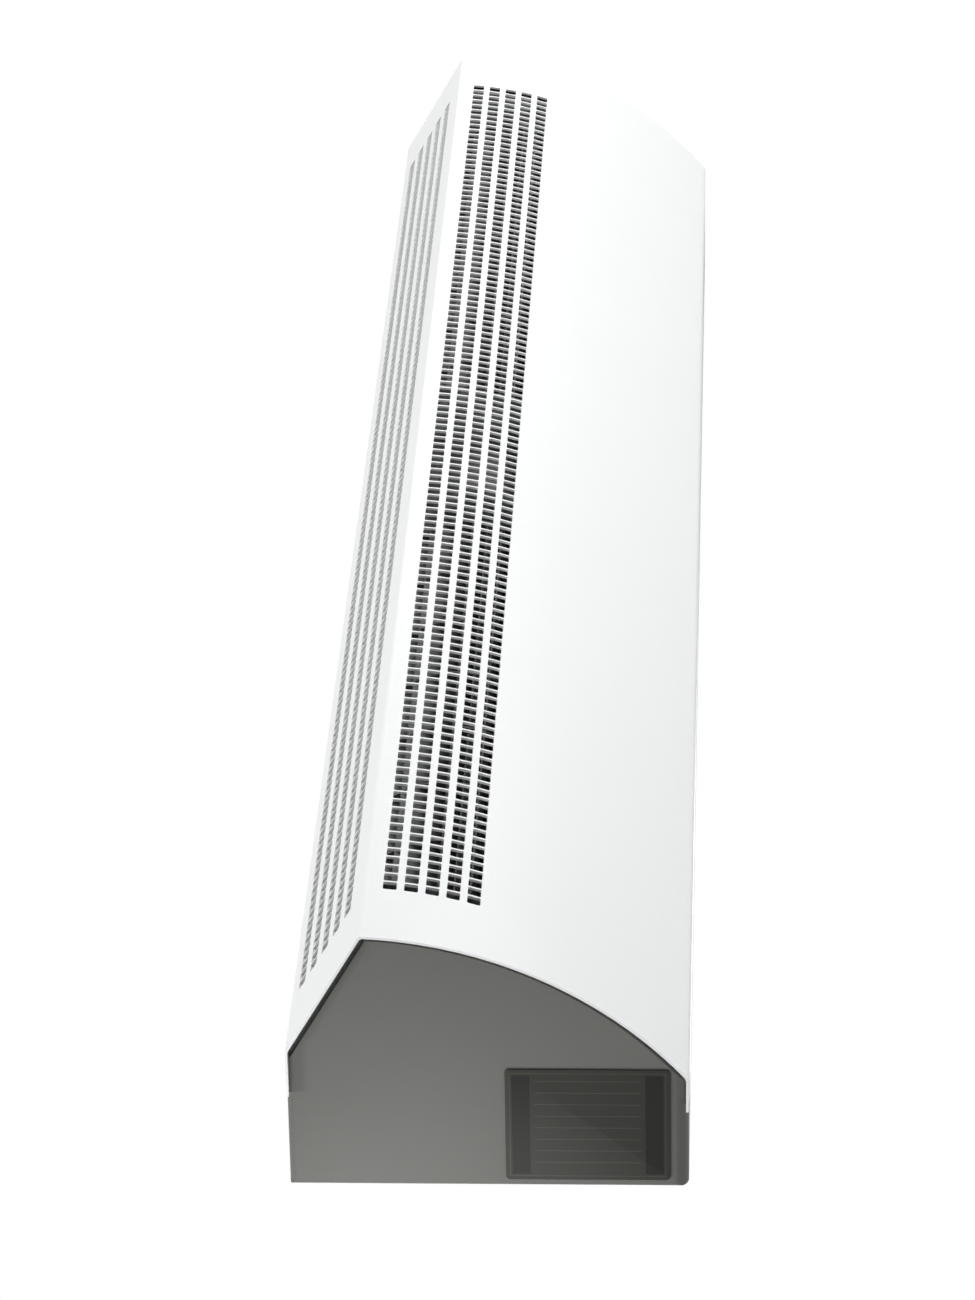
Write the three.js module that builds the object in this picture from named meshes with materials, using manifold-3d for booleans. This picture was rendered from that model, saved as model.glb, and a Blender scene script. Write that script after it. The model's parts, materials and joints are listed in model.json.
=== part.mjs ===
// A compact wall-hung air curtain for a doorway. Millimetres, +X along its length, +Z up. The wall is the
// plane Y = 0, the front faces -Y and the origin is the middle of the back. A section point is [y, z].
import * as THREE from 'three';
import { mergeGeometries, mergeVertices } from 'three/addons/utils/BufferGeometryUtils.js';
import Module from 'manifold-3d';

const wasm = await Module();
wasm.setup();

// Casing
const casingLength = 1100;
const casingHeight = 185;
const topDepth = 74; // wall to the upper crease
const peakDepth = 135; // wall to the front crease
const peakHeight = 57; // front crease above the middle
const lowerDepth = 61; // wall to the lower front edge
const frontRadius = 206;
const sheet = 1.2;
const gap = 0.3;
const clearance = 0.4; // what a hole's radius adds to the screw or shaft in it
const topSeam = 50; // the cover's top flange stops this far from the wall
const lowerSeam = 43; // and its lower flange this far
const lipDepth = 12; // the lips that the two flanges lie on
const capRecess = 4; // the cover reaches past the end caps by this much
const capDepth = 14;
const capWall = 3;
const capUpperRound = 4;
const capLowerRound = 8;
const capBackRound = 3;
const capLug = { from: 55, to: 80, depth: 6, reach: 12 }; // heights either side of the middle
const ratingPlateLow = [-63.5, -84];
const ratingPlateHigh = [-4.5, -8];
const ratingPlateThickness = 0.5;
const ratingPlateRound = 2;

// Perforation: five rows on the curved front and five on the slanted strip. The real sheet has 126 small
// holes to a row. Here nine of them make one slot.
const slotsPerRow = 14;
const perforatedLength = 1010;
const slotBridge = 4;
const slotWidth = 6.2;
const rowCount = 5;
const frontRowPitch = 9.85;
const frontRowStart = 11.7; // from the front crease
const stripRowPitch = 11;
const stripRowStart = 10.3; // from the upper crease

// Fasteners and the holes in the back wall
const coverScrewStations = [-380, 380];
const screwHead = { radius: 3.4, depth: 1.3 };
const screwShank = { radius: 1.8, length: 6.5 };
const wallHoles = [[-512, 68], [512, 68], [-512, -68], [512, -68]];
const wallHoleRadius = 2.75;
const grommetPlace = [512, 40];
const grommet = { hole: 8.3, neck: 8, flange: 12, rim: 11, well: 6, skin: 2.2, depth: 4 };

// Fan
const fanAxis = [-72, 26];
const impellerRadius = 45;
const bladeInnerRadius = 34;
const bladeCount = 12;
const impellerStart = 75;
const impellerEnd = 485;
const discThickness = 2.4;
const shaftRadius = 4;
const runningBore = shaftRadius + clearance;
const motorRadius = 38;
const motorHalf = 33;
const motorWall = 3;
const motorShoulder = 8; // how far the end faces draw in
const motorSlope = 6; // and how long that slope is
const motorBossRadius = 11;
const motorBossEnd = 45;
const motorLip = 2; // the boss keeps its bearing in
const ringRadius = 15;
const ringSpan = [35, 43];
const statorSize = { inner: 20.6, outer: 33.8, half: 18 };
const bearingRadius = { motor: 8, wheel: 9 };
const bracketArm = [38, 40];
const bracketMargin = 6; // round the ring
const bracketSpan = [-22, 24]; // heights of its back
const bracketBack = -16; // the scroll's straight back wall
const bracketThickness = 2;
const bracketScrews = [[0, 12], [0, -18]];
const hubSize = { start: 70, end: 86, radius: 17, spigot: 13 };
const stubSize = { flange: 12, spigot: 7, thickness: 2, end: 512 };
const cushionSize = { start: 490, end: 504, radius: 18, groove: 14 };
const bearingPlate = 497; // middle of the side plates' thickness
const bayPlate = 60.6; // middle of the motor bay plates' thickness
const bayWindow = 22;

// Air path and outlet
const scrollEdge = -47.2; // depth of the scroll's top edge
const spiralTop = 77;
const spiralStart = THREE.MathUtils.degToRad(115);
const spiralEnd = THREE.MathUtils.degToRad(180);
const spiralClearance = 5; // to the wheel, where the spiral starts
const spiralGrowth = 6;
const ductTurn = -30; // height where the scroll's back wall leans to the outlet
const mouthBack = -7.5;
const mouthFront = -37.5;
const railDepth = 5.5;
const railTop = -62;
const tongueFoot = -79; // top of the tongue's upright foot
const tongueNose = [[-108, -13], [-111, -8], [-120.4, -3.5]];
const vaneAxis = [-22.8, -73];
const vaneChord = 22;
const vaneThickness = 2;
const vaneHalf = 488;
const vaneSpine = 4;
const vanePinRadius = 2.5;
const vaneBore = 2.8;
const vaneBoreDepth = 14;
const supportHalf = 1.5;
const supportReach = 7; // round the vane's axis

// Heat and controls
const heaterPlaces = [[-24, -38], [-43, -48], [-62, -40]];
const heaterRadius = 5;
const collar = { radius: 7, from: 493, to: 501 };
const heaterPin = { radius: 2, end: 516 };
const linkPlace = 508;
const linkThickness = 1;
const linkMargin = 5;
const terminalLow = [503, -30];
const terminalHigh = [527, 15];
const terminalDepth = 19.5;
const terminalWells = { ways: 4, pitch: 11, first: -24, radius: 3, columns: [509, 521], depth: 5.5 };
const capacitorPlace = [-518, -35];
const capacitorRadius = 14;
const capacitorSpan = [-20, 32];
const clipThickness = 2;
const clipHeight = 12;
const clipFoot = [-59, -47];
const cutoutSize = { start: 526, radius: 9, wellEnd: 535 };
const resetPlace = [-30, 45];
const resetSize = { radius: 3.5, start: 538, end: 548, chamfer: 0.5 };
const switchHeight = -15;
const switchDepths = [45, 75];
const switchOpening = [20, 27.6];
const switchBoxStart = 523;
const switchWell = { start: 537, halfWidth: 7.8, halfHeight: 12.2 };
const bezelMargin = 1.4;
const bezelDepth = 2;
const switchPivot = 543.5;
const rockerThrow = THREE.MathUtils.degToRad(10);
const rockerSize = { halfWidth: 7.4, halfHeight: 11, face: 4.2, waist: 2.7, root: 3.5, rootHalf: 4 };
const leadPlace = [-56, 82];
const leadHole = 5;
const motorLeadRadius = 3;
const heaterLeadRadius = 2;

const halfLength = casingLength / 2;
const top = casingHeight / 2;
const capFace = halfLength - capRecess;
const capBack = capFace - capDepth;
const trayHalf = capBack - gap;
const plateTop = top - 2 * sheet - 2 * gap - 0.2; // clears the lip under the top flange
const railFoot = -top + railDepth;
const plateBottom = railFoot + gap;
const past = 5; // how far a cutting tool reaches past the piece it cuts

const unitX = new THREE.Vector3(1, 0, 0);
const unitY = new THREE.Vector3(0, 1, 0);
const unitZ = new THREE.Vector3(0, 0, 1);

const finish = {
  whitePaint: new THREE.MeshStandardMaterial({ color: 0xf3f4f4, roughness: 0.45, metalness: 0 }),
  greyPlastic: new THREE.MeshStandardMaterial({ color: 0x83857f, roughness: 0.5, metalness: 0 }),
  foil: new THREE.MeshStandardMaterial({ color: 0x62645a, roughness: 0.4, metalness: 0.2 }),
  galvanised: new THREE.MeshStandardMaterial({ color: 0xb4b8ba, roughness: 0.42, metalness: 0.85 }),
  aluminium: new THREE.MeshStandardMaterial({ color: 0xc6c8c9, roughness: 0.35, metalness: 0.9 }),
  steel: new THREE.MeshStandardMaterial({ color: 0xa6a8aa, roughness: 0.3, metalness: 0.95 }),
  blackPlastic: new THREE.MeshStandardMaterial({ color: 0x1f2022, roughness: 0.5, metalness: 0 }),
  rubber: new THREE.MeshStandardMaterial({ color: 0x2a2a2b, roughness: 0.85, metalness: 0 }),
  bronze: new THREE.MeshStandardMaterial({ color: 0x9a7648, roughness: 0.45, metalness: 0.8 }),
  copper: new THREE.MeshStandardMaterial({ color: 0xa8673a, roughness: 0.5, metalness: 0.6 }),
  paleInsulator: new THREE.MeshStandardMaterial({ color: 0xe2dccd, roughness: 0.6, metalness: 0 }),
  redButton: new THREE.MeshStandardMaterial({ color: 0xb3282a, roughness: 0.4, metalness: 0 }),
};

// ---- shapes ----

const point = ([a, b]) => new THREE.Vector2(a, b);
const shapeOf = (points) => new THREE.Shape(points.map(point));

// A shape swept along X, its own x and y becoming Y and Z
function sweepX(shape, from, to, curveSegments = 12) {
  const options = { depth: to - from, bevelEnabled: false, curveSegments };
  const swept = new THREE.ExtrudeGeometry(shape, options);
  const basis = new THREE.Matrix4().makeBasis(unitY, unitZ, unitX);
  return swept.applyMatrix4(basis).translate(from, 0, 0);
}

// A shape in X and Z swept towards the front from the wall side
function sweepFront(shape, from, to) {
  const swept = new THREE.ExtrudeGeometry(shape, { depth: to - from, bevelEnabled: false, curveSegments: 5 });
  const basis = new THREE.Matrix4().makeBasis(unitX, unitZ, unitY.clone().negate());
  return swept.applyMatrix4(basis).translate(0, -from, 0);
}

function boxBetween(low, high) {
  const size = high.map((value, axis) => value - low[axis]);
  const box = new THREE.BoxGeometry(...size);
  return box.translate(...high.map((value, axis) => (value + low[axis]) / 2));
}

// A profile of [x, radius] points turned round the X axis. It closes on itself or runs from axis to axis.
function turned(profile, segments = 16) {
  const points = profile.map(([x, radius]) => new THREE.Vector2(radius, x));
  if (THREE.ShapeUtils.isClockWise(points)) points.reverse();
  const startsOnAxis = points[0].x === 0;
  const outline = startsOnAxis ? points : [...points, points[0]];
  return new THREE.LatheGeometry(outline, segments).rotateZ(-Math.PI / 2);
}

// A straight round bar along X through a section point
function barX(radius, from, to, [y, z] = [0, 0], segments = 16) {
  const bar = new THREE.CylinderGeometry(radius, radius, to - from, segments).rotateZ(-Math.PI / 2);
  return bar.translate((from + to) / 2, y, z);
}

const barZ = (radius, from, to, x, y, segments = 16) =>
  new THREE.CylinderGeometry(radius, radius, to - from, segments)
    .rotateX(Math.PI / 2)
    .translate(x, y, (from + to) / 2);

const barY = (radius, from, to, x, z, segments = 16) =>
  new THREE.CylinderGeometry(radius, radius, to - from, segments).translate(x, (from + to) / 2, z);

// The points of a bent line, each moved to the line's left along the mitre of the sides that meet there
function offsetLine(line, distance, closed = false) {
  const points = line.map(point);
  const last = points.length - 1;
  return points.map((here, index) => {
    const previous = index > 0 ? points[index - 1] : closed ? points[last] : null;
    const next = index < last ? points[index + 1] : closed ? points[0] : null;
    const leftOf = (from, to) => new THREE.Vector2(from.y - to.y, to.x - from.x).normalize();
    const before = leftOf(...(previous ? [previous, here] : [here, next]));
    const after = leftOf(...(next ? [here, next] : [previous, here]));
    const mitre = before.clone().add(after).normalize();
    const moved = here.clone().addScaledVector(mitre, distance / mitre.dot(before));
    return [moved.x, moved.y];
  });
}

// The closed outline of a sheet whose one face follows a bent line
const bentSheet = (line, thickness) => [...line, ...offsetLine(line, thickness).reverse()];

function roundedRectangle([x0, y0], [x1, y1], radii) {
  const [r00, r10, r11, r01] = radii;
  const shape = new THREE.Shape();
  shape.moveTo(x0 + r00, y0);
  shape.lineTo(x1 - r10, y0);
  if (r10) shape.absarc(x1 - r10, y0 + r10, r10, -Math.PI / 2, 0);
  shape.lineTo(x1, y1 - r11);
  if (r11) shape.absarc(x1 - r11, y1 - r11, r11, 0, Math.PI / 2);
  shape.lineTo(x0 + r01, y1);
  if (r01) shape.absarc(x0 + r01, y1 - r01, r01, Math.PI / 2, Math.PI);
  shape.lineTo(x0, y0 + r00);
  if (r00) shape.absarc(x0 + r00, y0 + r00, r00, Math.PI, 1.5 * Math.PI);
  return shape;
}

// ---- cutting and joining ----

function toSolid(geometry) {
  const plain = geometry.clone();
  plain.deleteAttribute('normal');
  plain.deleteAttribute('uv');
  const merged = mergeVertices(plain, 1e-4);
  const vertProperties = new Float32Array(merged.attributes.position.array);
  const triVerts = new Uint32Array(merged.index.array);
  return new wasm.Manifold(new wasm.Mesh({ numProp: 3, vertProperties, triVerts }));
}

function toGeometry(solid) {
  const mesh = solid.getMesh();
  const geometry = new THREE.BufferGeometry();
  geometry.setAttribute('position', new THREE.BufferAttribute(mesh.vertProperties, 3));
  geometry.setIndex(new THREE.BufferAttribute(mesh.triVerts, 1));
  geometry.computeVertexNormals();
  return geometry;
}

const cut = (body, ...tools) =>
  toGeometry(tools.reduce((solid, tool) => solid.subtract(toSolid(tool)), toSolid(body)));
const join = (body, ...others) =>
  toGeometry(others.reduce((solid, other) => solid.add(toSolid(other)), toSolid(body)));
const common = (body, ...others) =>
  toGeometry(others.reduce((solid, other) => solid.intersect(toSolid(other)), toSolid(body)));

// ---- section of the casing ----

const upperCrease = [-topDepth, top];
const frontCrease = [-peakDepth, peakHeight];
const lowerEdge = [-lowerDepth, -top];

// Points on the front arc from the crease down to the lower edge. Each row of slots has a flat facet of
// its own, and the plain stretch below has eight.
function frontArc() {
  const start = point(frontCrease);
  const end = point(lowerEdge);
  const chord = end.clone().sub(start);
  const towardsWall = new THREE.Vector2(-chord.y, chord.x).normalize();
  const reach = Math.sqrt(frontRadius ** 2 - (chord.length() / 2) ** 2);
  const centre = start.clone().add(end).multiplyScalar(0.5).addScaledVector(towardsWall, reach);
  const startAngle = start.clone().sub(centre).angle();
  const arcLength = 2 * frontRadius * Math.asin(chord.length() / 2 / frontRadius);
  const rowsStart = frontRowStart - frontRowPitch / 2;
  const rowsEnd = rowsStart + rowCount * frontRowPitch;
  const plainFacets = 8;
  const stations = [0];
  for (let row = 0; row <= rowCount; row += 1) stations.push(rowsStart + row * frontRowPitch);
  for (let facet = 1; facet <= plainFacets; facet += 1) {
    stations.push(rowsEnd + (facet * (arcLength - rowsEnd)) / plainFacets);
  }
  return stations.map((station) => {
    const angle = startAngle + station / frontRadius;
    return [centre.x + frontRadius * Math.cos(angle), centre.y + frontRadius * Math.sin(angle)];
  });
}

const arc = frontArc();
const coverLine = [[-topSeam - gap / 2, top], upperCrease, ...arc, [-lowerSeam - gap / 2, -top]];
const casingOutline = [[0, top], upperCrease, ...arc, [0, -top]];
const plateOutline = offsetLine(casingOutline, sheet + gap, true);

// ---- casing ----

// One tool for each slot of a row that lies between two section points
function slotRow(from, to, along) {
  const direction = to.clone().sub(from).normalize();
  const middle = from.clone().addScaledVector(direction, along);
  const pitch = perforatedLength / slotsPerRow;
  const slots = [];
  for (let slot = 0; slot < slotsPerRow; slot += 1) {
    const tool = new THREE.BoxGeometry(pitch - slotBridge, slotWidth, 4 * sheet);
    tool.rotateX(direction.angle());
    slots.push(tool.translate((slot - (slotsPerRow - 1) / 2) * pitch, middle.x, middle.y));
  }
  return slots;
}

function perforation() {
  const tools = [];
  for (let row = 0; row < rowCount; row += 1) {
    const stripRow = stripRowStart + row * stripRowPitch;
    tools.push(...slotRow(point(upperCrease), point(frontCrease), stripRow));
    tools.push(...slotRow(point(arc[row + 1]), point(arc[row + 2]), frontRowPitch / 2));
  }
  return mergeGeometries(tools);
}

const topScrewDepth = topSeam + lipDepth / 2 + 1;
const lowerScrewDepth = lowerSeam + lipDepth / 2 + 1;

function screwHoles(radius, depth, end) {
  const span = [end * top - past, end * top + past];
  return coverScrewStations.map((x) => barZ(radius, ...span, x, -depth, 12));
}

function frontCover() {
  const body = sweepX(shapeOf(bentSheet(coverLine, sheet)), -halfLength, halfLength);
  return cut(
    body,
    perforation(),
    ...screwHoles(screwHead.radius + clearance, topScrewDepth, 1),
    ...screwHoles(screwHead.radius + clearance, lowerScrewDepth, -1),
  );
}

const step = sheet + gap;

// Back wall, top flange and the stepped lip that the cover's flange lies on
function backTray() {
  const line = [
    [0, -top],
    [0, top],
    [-topSeam + step + gap, top],
    [-topSeam + gap, top - step],
    [-topSeam - lipDepth, top - step],
  ];
  const body = sweepX(shapeOf(bentSheet(line, sheet)), -trayHalf, trayHalf);
  return cut(
    body,
    ...wallHoles.map((place) => barY(wallHoleRadius, -past, past, ...place)),
    barY(grommet.hole, -past, past, ...grommetPlace),
    ...screwHoles(screwShank.radius + clearance, topScrewDepth, 1),
  );
}

function endCap(side) {
  const recessed = offsetLine(coverLine, sheet + gap);
  const outline = [
    [0, top],
    [-topSeam + gap / 2, top],
    [-topSeam + gap / 2, top - sheet - gap],
    ...recessed.slice(1, -1),
    [-lowerSeam + gap / 2, -top + sheet + gap],
    [-lowerSeam + gap / 2, -top],
    [0, -top],
  ];
  const span = (inner, outer) => (side > 0 ? [inner, outer] : [-outer, -inner]);
  const rounds = (lower, upper) => (side > 0 ? [0, lower, upper, 0] : [lower, 0, 0, upper]);
  const [low, high] = span(capBack - 1, capFace);
  const sideView = roundedRectangle([low, -top], [high, top], rounds(capLowerRound, capUpperRound));
  const plan = roundedRectangle([low, -peakDepth - 1], [high, 0], rounds(0, capBackRound));
  const hollow = offsetLine(casingOutline, sheet + gap + capWall, true);
  const rounded = common(
    sweepX(shapeOf(outline), ...span(capBack, capFace)),
    sweepFront(sideView, -1, peakDepth + 1),
    new THREE.ExtrudeGeometry(plan, { depth: 2 * top + 2, bevelEnabled: false, curveSegments: 3 })
      .translate(0, 0, -top - 1),
  );
  const shell = cut(rounded, sweepX(shapeOf(hollow), ...span(capBack - 1, capFace - capWall)));
  const [lugFrom, lugTo] = span(capBack - capLug.reach, capFace - capWall + 1);
  const lugs = [-1, 1].map((end) => {
    const z = [end * capLug.from, end * capLug.to].sort((a, b) => a - b);
    return boxBetween([lugFrom, -capLug.depth, z[0]], [lugTo, -sheet - gap, z[1]]);
  });
  return join(shell, ...lugs);
}

function rightEndCap() {
  const through = [capFace - capWall - 1, capFace + 1];
  const openings = switchDepths.map((depth) =>
    boxBetween(
      [through[0], -depth - switchOpening[0] / 2, switchHeight - switchOpening[1] / 2],
      [through[1], -depth + switchOpening[0] / 2, switchHeight + switchOpening[1] / 2],
    ),
  );
  return cut(endCap(1), ...openings, barX(resetSize.radius + clearance, ...through, resetPlace));
}

// A blank foil plate on the left cap, near its lower back corner
function ratingPlate() {
  const plate = roundedRectangle(ratingPlateLow, ratingPlateHigh, Array(4).fill(ratingPlateRound));
  return sweepX(plate, -capFace - gap - ratingPlateThickness, -capFace - gap, 3);
}

// A flush screw: a flat head in the cover's sheet and a shank through the lip below it
function coverScrew(x, depth, end) {
  const profile = [
    [0, 0], [0, screwHead.radius], [screwHead.depth, screwHead.radius],
    [screwHead.depth, screwShank.radius], [screwShank.length, screwShank.radius], [screwShank.length, 0],
  ];
  const screw = turned(profile, 10).rotateY((end * Math.PI) / 2);
  return screw.translate(x, -depth, end * top);
}

// ---- air path ----

// The rear volute: a widening spiral behind the impeller, then the wall that leads down to the outlet
function scrollLine() {
  const spiral = [];
  const spiralSteps = 6;
  for (let index = 0; index <= spiralSteps; index += 1) {
    const share = index / spiralSteps;
    const angle = THREE.MathUtils.lerp(spiralStart, spiralEnd, share);
    const radius = impellerRadius + spiralClearance + spiralGrowth * share;
    spiral.push([fanAxis[0] - radius * Math.cos(angle), fanAxis[1] + radius * Math.sin(angle)]);
  }
  const straight = spiral[spiralSteps][0];
  return [
    [scrollEdge, plateTop], [scrollEdge, spiralTop], ...spiral,
    [straight, ductTurn], [mouthBack, railTop + gap],
  ];
}

// The stabiliser in front, one folded sheet: a stepped lip that the cover's lower flange lies on, the front
// edge of the outlet, the wall up to the nose and the edge that meets the cover
const tongueLine = [
  [-lowerSeam - lipDepth, -top + step],
  [-lowerSeam + gap, -top + step],
  [-lowerSeam + step + gap, -top],
  [mouthFront, -top],
  [mouthFront, tongueFoot],
  ...tongueNose,
];

const betweenPlates = bearingPlate - sheet / 2 - gap;
const betweenPlatesSheet = (line) => sweepX(shapeOf(bentSheet(line, sheet)), -betweenPlates, betweenPlates);

const scroll = () => betweenPlatesSheet(scrollLine());

const tongue = () =>
  cut(betweenPlatesSheet(tongueLine), ...screwHoles(screwShank.radius + clearance, lowerScrewDepth, -1));

function bulkhead(centre, low) {
  const blank = sweepX(shapeOf(plateOutline), centre - sheet / 2, centre + sheet / 2);
  const kept = boxBetween([centre - past, -peakDepth, low], [centre + past, 0, plateTop]);
  return common(blank, kept);
}

function sidePlate(side) {
  const centre = side * bearingPlate;
  const through = [centre - past, centre + past];
  return cut(
    bulkhead(centre, plateBottom),
    barX(cushionSize.groove + gap, ...through, fanAxis),
    barX(vanePinRadius + clearance, ...through, vaneAxis, 16),
    barX(leadHole, ...through, leadPlace, 12),
    ...heaterPlaces.map((place) => barX(collar.radius + clearance, ...through, place, 16)),
  );
}

// A partition beside the motor. It fills the section between the scroll and the tongue.
function motorBayPlate(side) {
  const centre = side * bayPlate;
  const through = [centre - past, centre + past];
  const behindScroll = [
    ...offsetLine(scrollLine(), -gap), [past, -top], [past, top], [scrollEdge - gap, top],
  ];
  const wallUp = tongueLine.slice(-tongueNose.length - 1);
  const noseHeight = tongueNose[tongueNose.length - 1][1] + gap;
  const belowTongue = [...offsetLine(wallUp, -gap), [-150, noseHeight], [-150, -top], [mouthFront, -top]];
  const lowestCorner = -56;
  return cut(
    bulkhead(centre, lowestCorner),
    sweepX(shapeOf(behindScroll), ...through),
    sweepX(shapeOf(belowTongue), ...through),
    barX(bayWindow, ...through, fanAxis),
    barX(leadHole, ...through, leadPlace, 12),
    ...heaterPlaces.map((place) => barX(heaterRadius + clearance, ...through, place, 16)),
  );
}

// The back edge of the outlet: a foot on the underside and a web up to the scroll
function outletRail() {
  const foot = boxBetween([-betweenPlates, mouthBack, -top], [betweenPlates, -sheet - gap, railFoot]);
  const web = boxBetween([-betweenPlates, mouthBack, -top], [betweenPlates, mouthBack + sheet, railTop]);
  return join(foot, web);
}

// Closes the underside from the side plate to the end cap
function outletEnd(side) {
  const [from, to] = side > 0 ? [betweenPlates + gap, trayHalf] : [-trayHalf, -betweenPlates - gap];
  return boxBetween([from, -lowerSeam + gap / 2, -top], [to, -sheet - gap, railFoot]);
}

// A flat blade with a round spine on the pivot, drilled at both ends for the pins and open at mid length
function deflectorVane() {
  const half = vaneChord / 2;
  const halfThick = vaneThickness / 2;
  const blade = roundedRectangle([-halfThick, -half], [halfThick, half], Array(4).fill(halfThick - 0.1));
  const spine = barX(vaneSpine, -vaneHalf, vaneHalf, [0, 0], 12);
  const windowHalf = 4;
  const windows = [-1, 1].map((end) => {
    const z = [end * (vaneSpine + 0.1), end * (half + 1)].sort((a, b) => a - b);
    return boxBetween([-windowHalf, -vaneThickness, z[0]], [windowHalf, vaneThickness, z[1]]);
  });
  return cut(
    join(sweepX(blade, -vaneHalf, vaneHalf, 2), spine),
    ...windows,
    barX(vaneBore, vaneHalf - vaneBoreDepth, vaneHalf + past, [0, 0], 12),
    barX(vaneBore, -vaneHalf - past, -vaneHalf + vaneBoreDepth, [0, 0], 12),
  );
}

function vanePin(side) {
  const inner = vaneHalf - vaneBoreDepth + 1;
  const outer = bearingPlate + 6;
  return barX(vanePinRadius, ...(side > 0 ? [inner, outer] : [-outer, -inner]), [0, 0], 12);
}

// A small bracket off the outlet rail that carries the vane's spine at mid length
function vaneSupport() {
  const low = [-supportHalf, vaneAxis[0] - supportReach, vaneAxis[1] - supportReach];
  const high = [supportHalf, mouthBack - gap, vaneAxis[1] + supportReach];
  const bore = barX(vaneSpine + clearance + 0.1, -supportHalf - 1, supportHalf + 1, vaneAxis, 16);
  return cut(boxBetween(low, high), bore);
}

// ---- fan, every piece about the fan axis ----

function motorHousing() {
  const bearingSeat = bearingRadius.motor + gap;
  const innerEnd = motorHalf - motorWall;
  const innerRadius = motorRadius - motorWall;
  const outside = [
    [motorHalf - motorSlope, motorRadius],
    [motorHalf, motorRadius - motorShoulder],
    [motorHalf, motorBossRadius],
    [motorBossEnd, motorBossRadius],
    [motorBossEnd, runningBore],
  ];
  const inside = [
    [motorBossEnd - motorLip, runningBore],
    [motorBossEnd - motorLip, bearingSeat],
    [innerEnd, bearingSeat],
    [innerEnd, innerRadius - motorShoulder],
    [innerEnd - motorSlope, innerRadius],
  ];
  const half = [...outside, ...inside];
  return turned([...half, ...mirrored(half, -1).reverse()]);
}

const ring = (inner, outer, from, to, segments = 16) =>
  turned([[from, inner], [from, outer], [to, outer], [to, inner]], segments);

// A U of strip steel: its back on the scroll, each arm round one of the motor's rubber rings
function motorBracket() {
  const [armInner, armOuter] = bracketArm;
  const back = bracketBack - gap - fanAxis[0];
  const [backLow, backHigh] = bracketSpan.map((height) => height - fanAxis[1]);
  const eye = ringRadius + bracketMargin;
  const arm = new THREE.Shape();
  arm.moveTo(back, backLow);
  arm.lineTo(back, backHigh);
  arm.lineTo(0, eye);
  arm.absarc(0, 0, eye, Math.PI / 2, Math.PI * 1.5);
  const arms = [armInner, -armOuter].map((x) => sweepX(arm, x, x + armOuter - armInner));
  const plate = boxBetween([-armOuter, back - bracketThickness, backLow], [armOuter, back, backHigh]);
  const screwBore = bracketScrewSize.shank + clearance;
  return cut(
    join(plate, ...arms),
    barX(ringRadius + gap, -armOuter - 1, armOuter + 1),
    ...bracketScrews.map(([x, z]) => barY(screwBore, back - past, back + 1, x, z - fanAxis[1], 12)),
  );
}

const bracketScrewSize = { shank: 2, shankLength: 2.6, headEdge: 4, headShoulder: [4.8, 3.2], length: 5.2 };

// A pan-head screw that holds the bracket's back. Its tip stops in the scroll's sheet.
function bracketScrew([x, z]) {
  const { shank, shankLength, headEdge, headShoulder, length } = bracketScrewSize;
  const profile = [
    [0, 0], [0, shank], [shankLength, shank], [shankLength, headEdge], headShoulder, [length, 0],
  ];
  return turned(profile, 10).rotateZ(-Math.PI / 2).translate(x, bracketBack - gap / 2, z);
}

const mirrored = (profile, side) => profile.map(([x, radius]) => [side * x, radius]);

function motorShaft() {
  const end = hubSize.end + 2;
  const chamfer = 0.5;
  const half = [[end - chamfer, shaftRadius], [end, shaftRadius - chamfer], [end, 0]];
  return turned([...mirrored(half, -1).reverse(), ...half]);
}

function hub(side) {
  const disc = impellerStart - gap;
  const { start, end, radius, spigot } = hubSize;
  const bore = shaftRadius + gap;
  const profile = [
    [start, bore], [start, radius], [disc, radius], [disc, spigot], [end, spigot], [end, bore],
  ];
  return turned(mirrored(profile, side));
}

function stubShaft(side) {
  const flange = impellerEnd + gap;
  const spigotStart = flange - stubSize.spigot;
  const flangeEnd = flange + stubSize.thickness;
  const profile = [
    [spigotStart, 0], [spigotStart, stubSize.spigot], [flange, stubSize.spigot], [flange, stubSize.flange],
    [flangeEnd, stubSize.flange], [flangeEnd, shaftRadius], [stubSize.end, shaftRadius], [stubSize.end, 0],
  ];
  return turned(mirrored(profile, side));
}

function bearingCushion(side) {
  const { start, end, radius, groove } = cushionSize;
  const grooveStart = bearingPlate - sheet / 2 - gap;
  const grooveEnd = bearingPlate + sheet / 2 + gap;
  const bore = bearingRadius.wheel + gap;
  const profile = [
    [start, bore], [start, radius], [grooveStart, radius], [grooveStart, groove],
    [grooveEnd, groove], [grooveEnd, radius], [end, radius], [end, bore],
  ];
  return turned(mirrored(profile, side));
}

// The wheel turns so that its blades go down behind the axis. Each is a thin curved strip whose outer edge
// leans forward that way.
function impeller(side) {
  const segments = 18;
  const middle = (impellerStart + impellerEnd) / 2;
  const disc = (bore, centre) => {
    const edges = [side * centre - discThickness / 2, side * centre + discThickness / 2];
    return ring(bore, impellerRadius, ...edges, segments);
  };
  const bladeLine = [[impellerRadius - 0.6, -7], [bladeInnerRadius + 5.5, -2.2], [bladeInnerRadius, 0.3]];
  const bladeThickness = 1.3;
  const bladeEnds = [side * (impellerStart + 1), side * (impellerEnd - 1)].sort((a, b) => a - b);
  const blades = [];
  for (let blade = 0; blade < bladeCount; blade += 1) {
    const strip = sweepX(shapeOf(bentSheet(bladeLine, bladeThickness)), ...bladeEnds);
    blades.push(strip.rotateX((blade * 2 * Math.PI) / bladeCount));
  }
  return join(
    disc(hubSize.spigot + gap, impellerStart + discThickness / 2),
    disc(bladeInnerRadius - 3, middle),
    disc(stubSize.spigot + gap, impellerEnd - discThickness / 2),
    mergeGeometries(blades),
  );
}

// ---- heat and electrics ----

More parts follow.
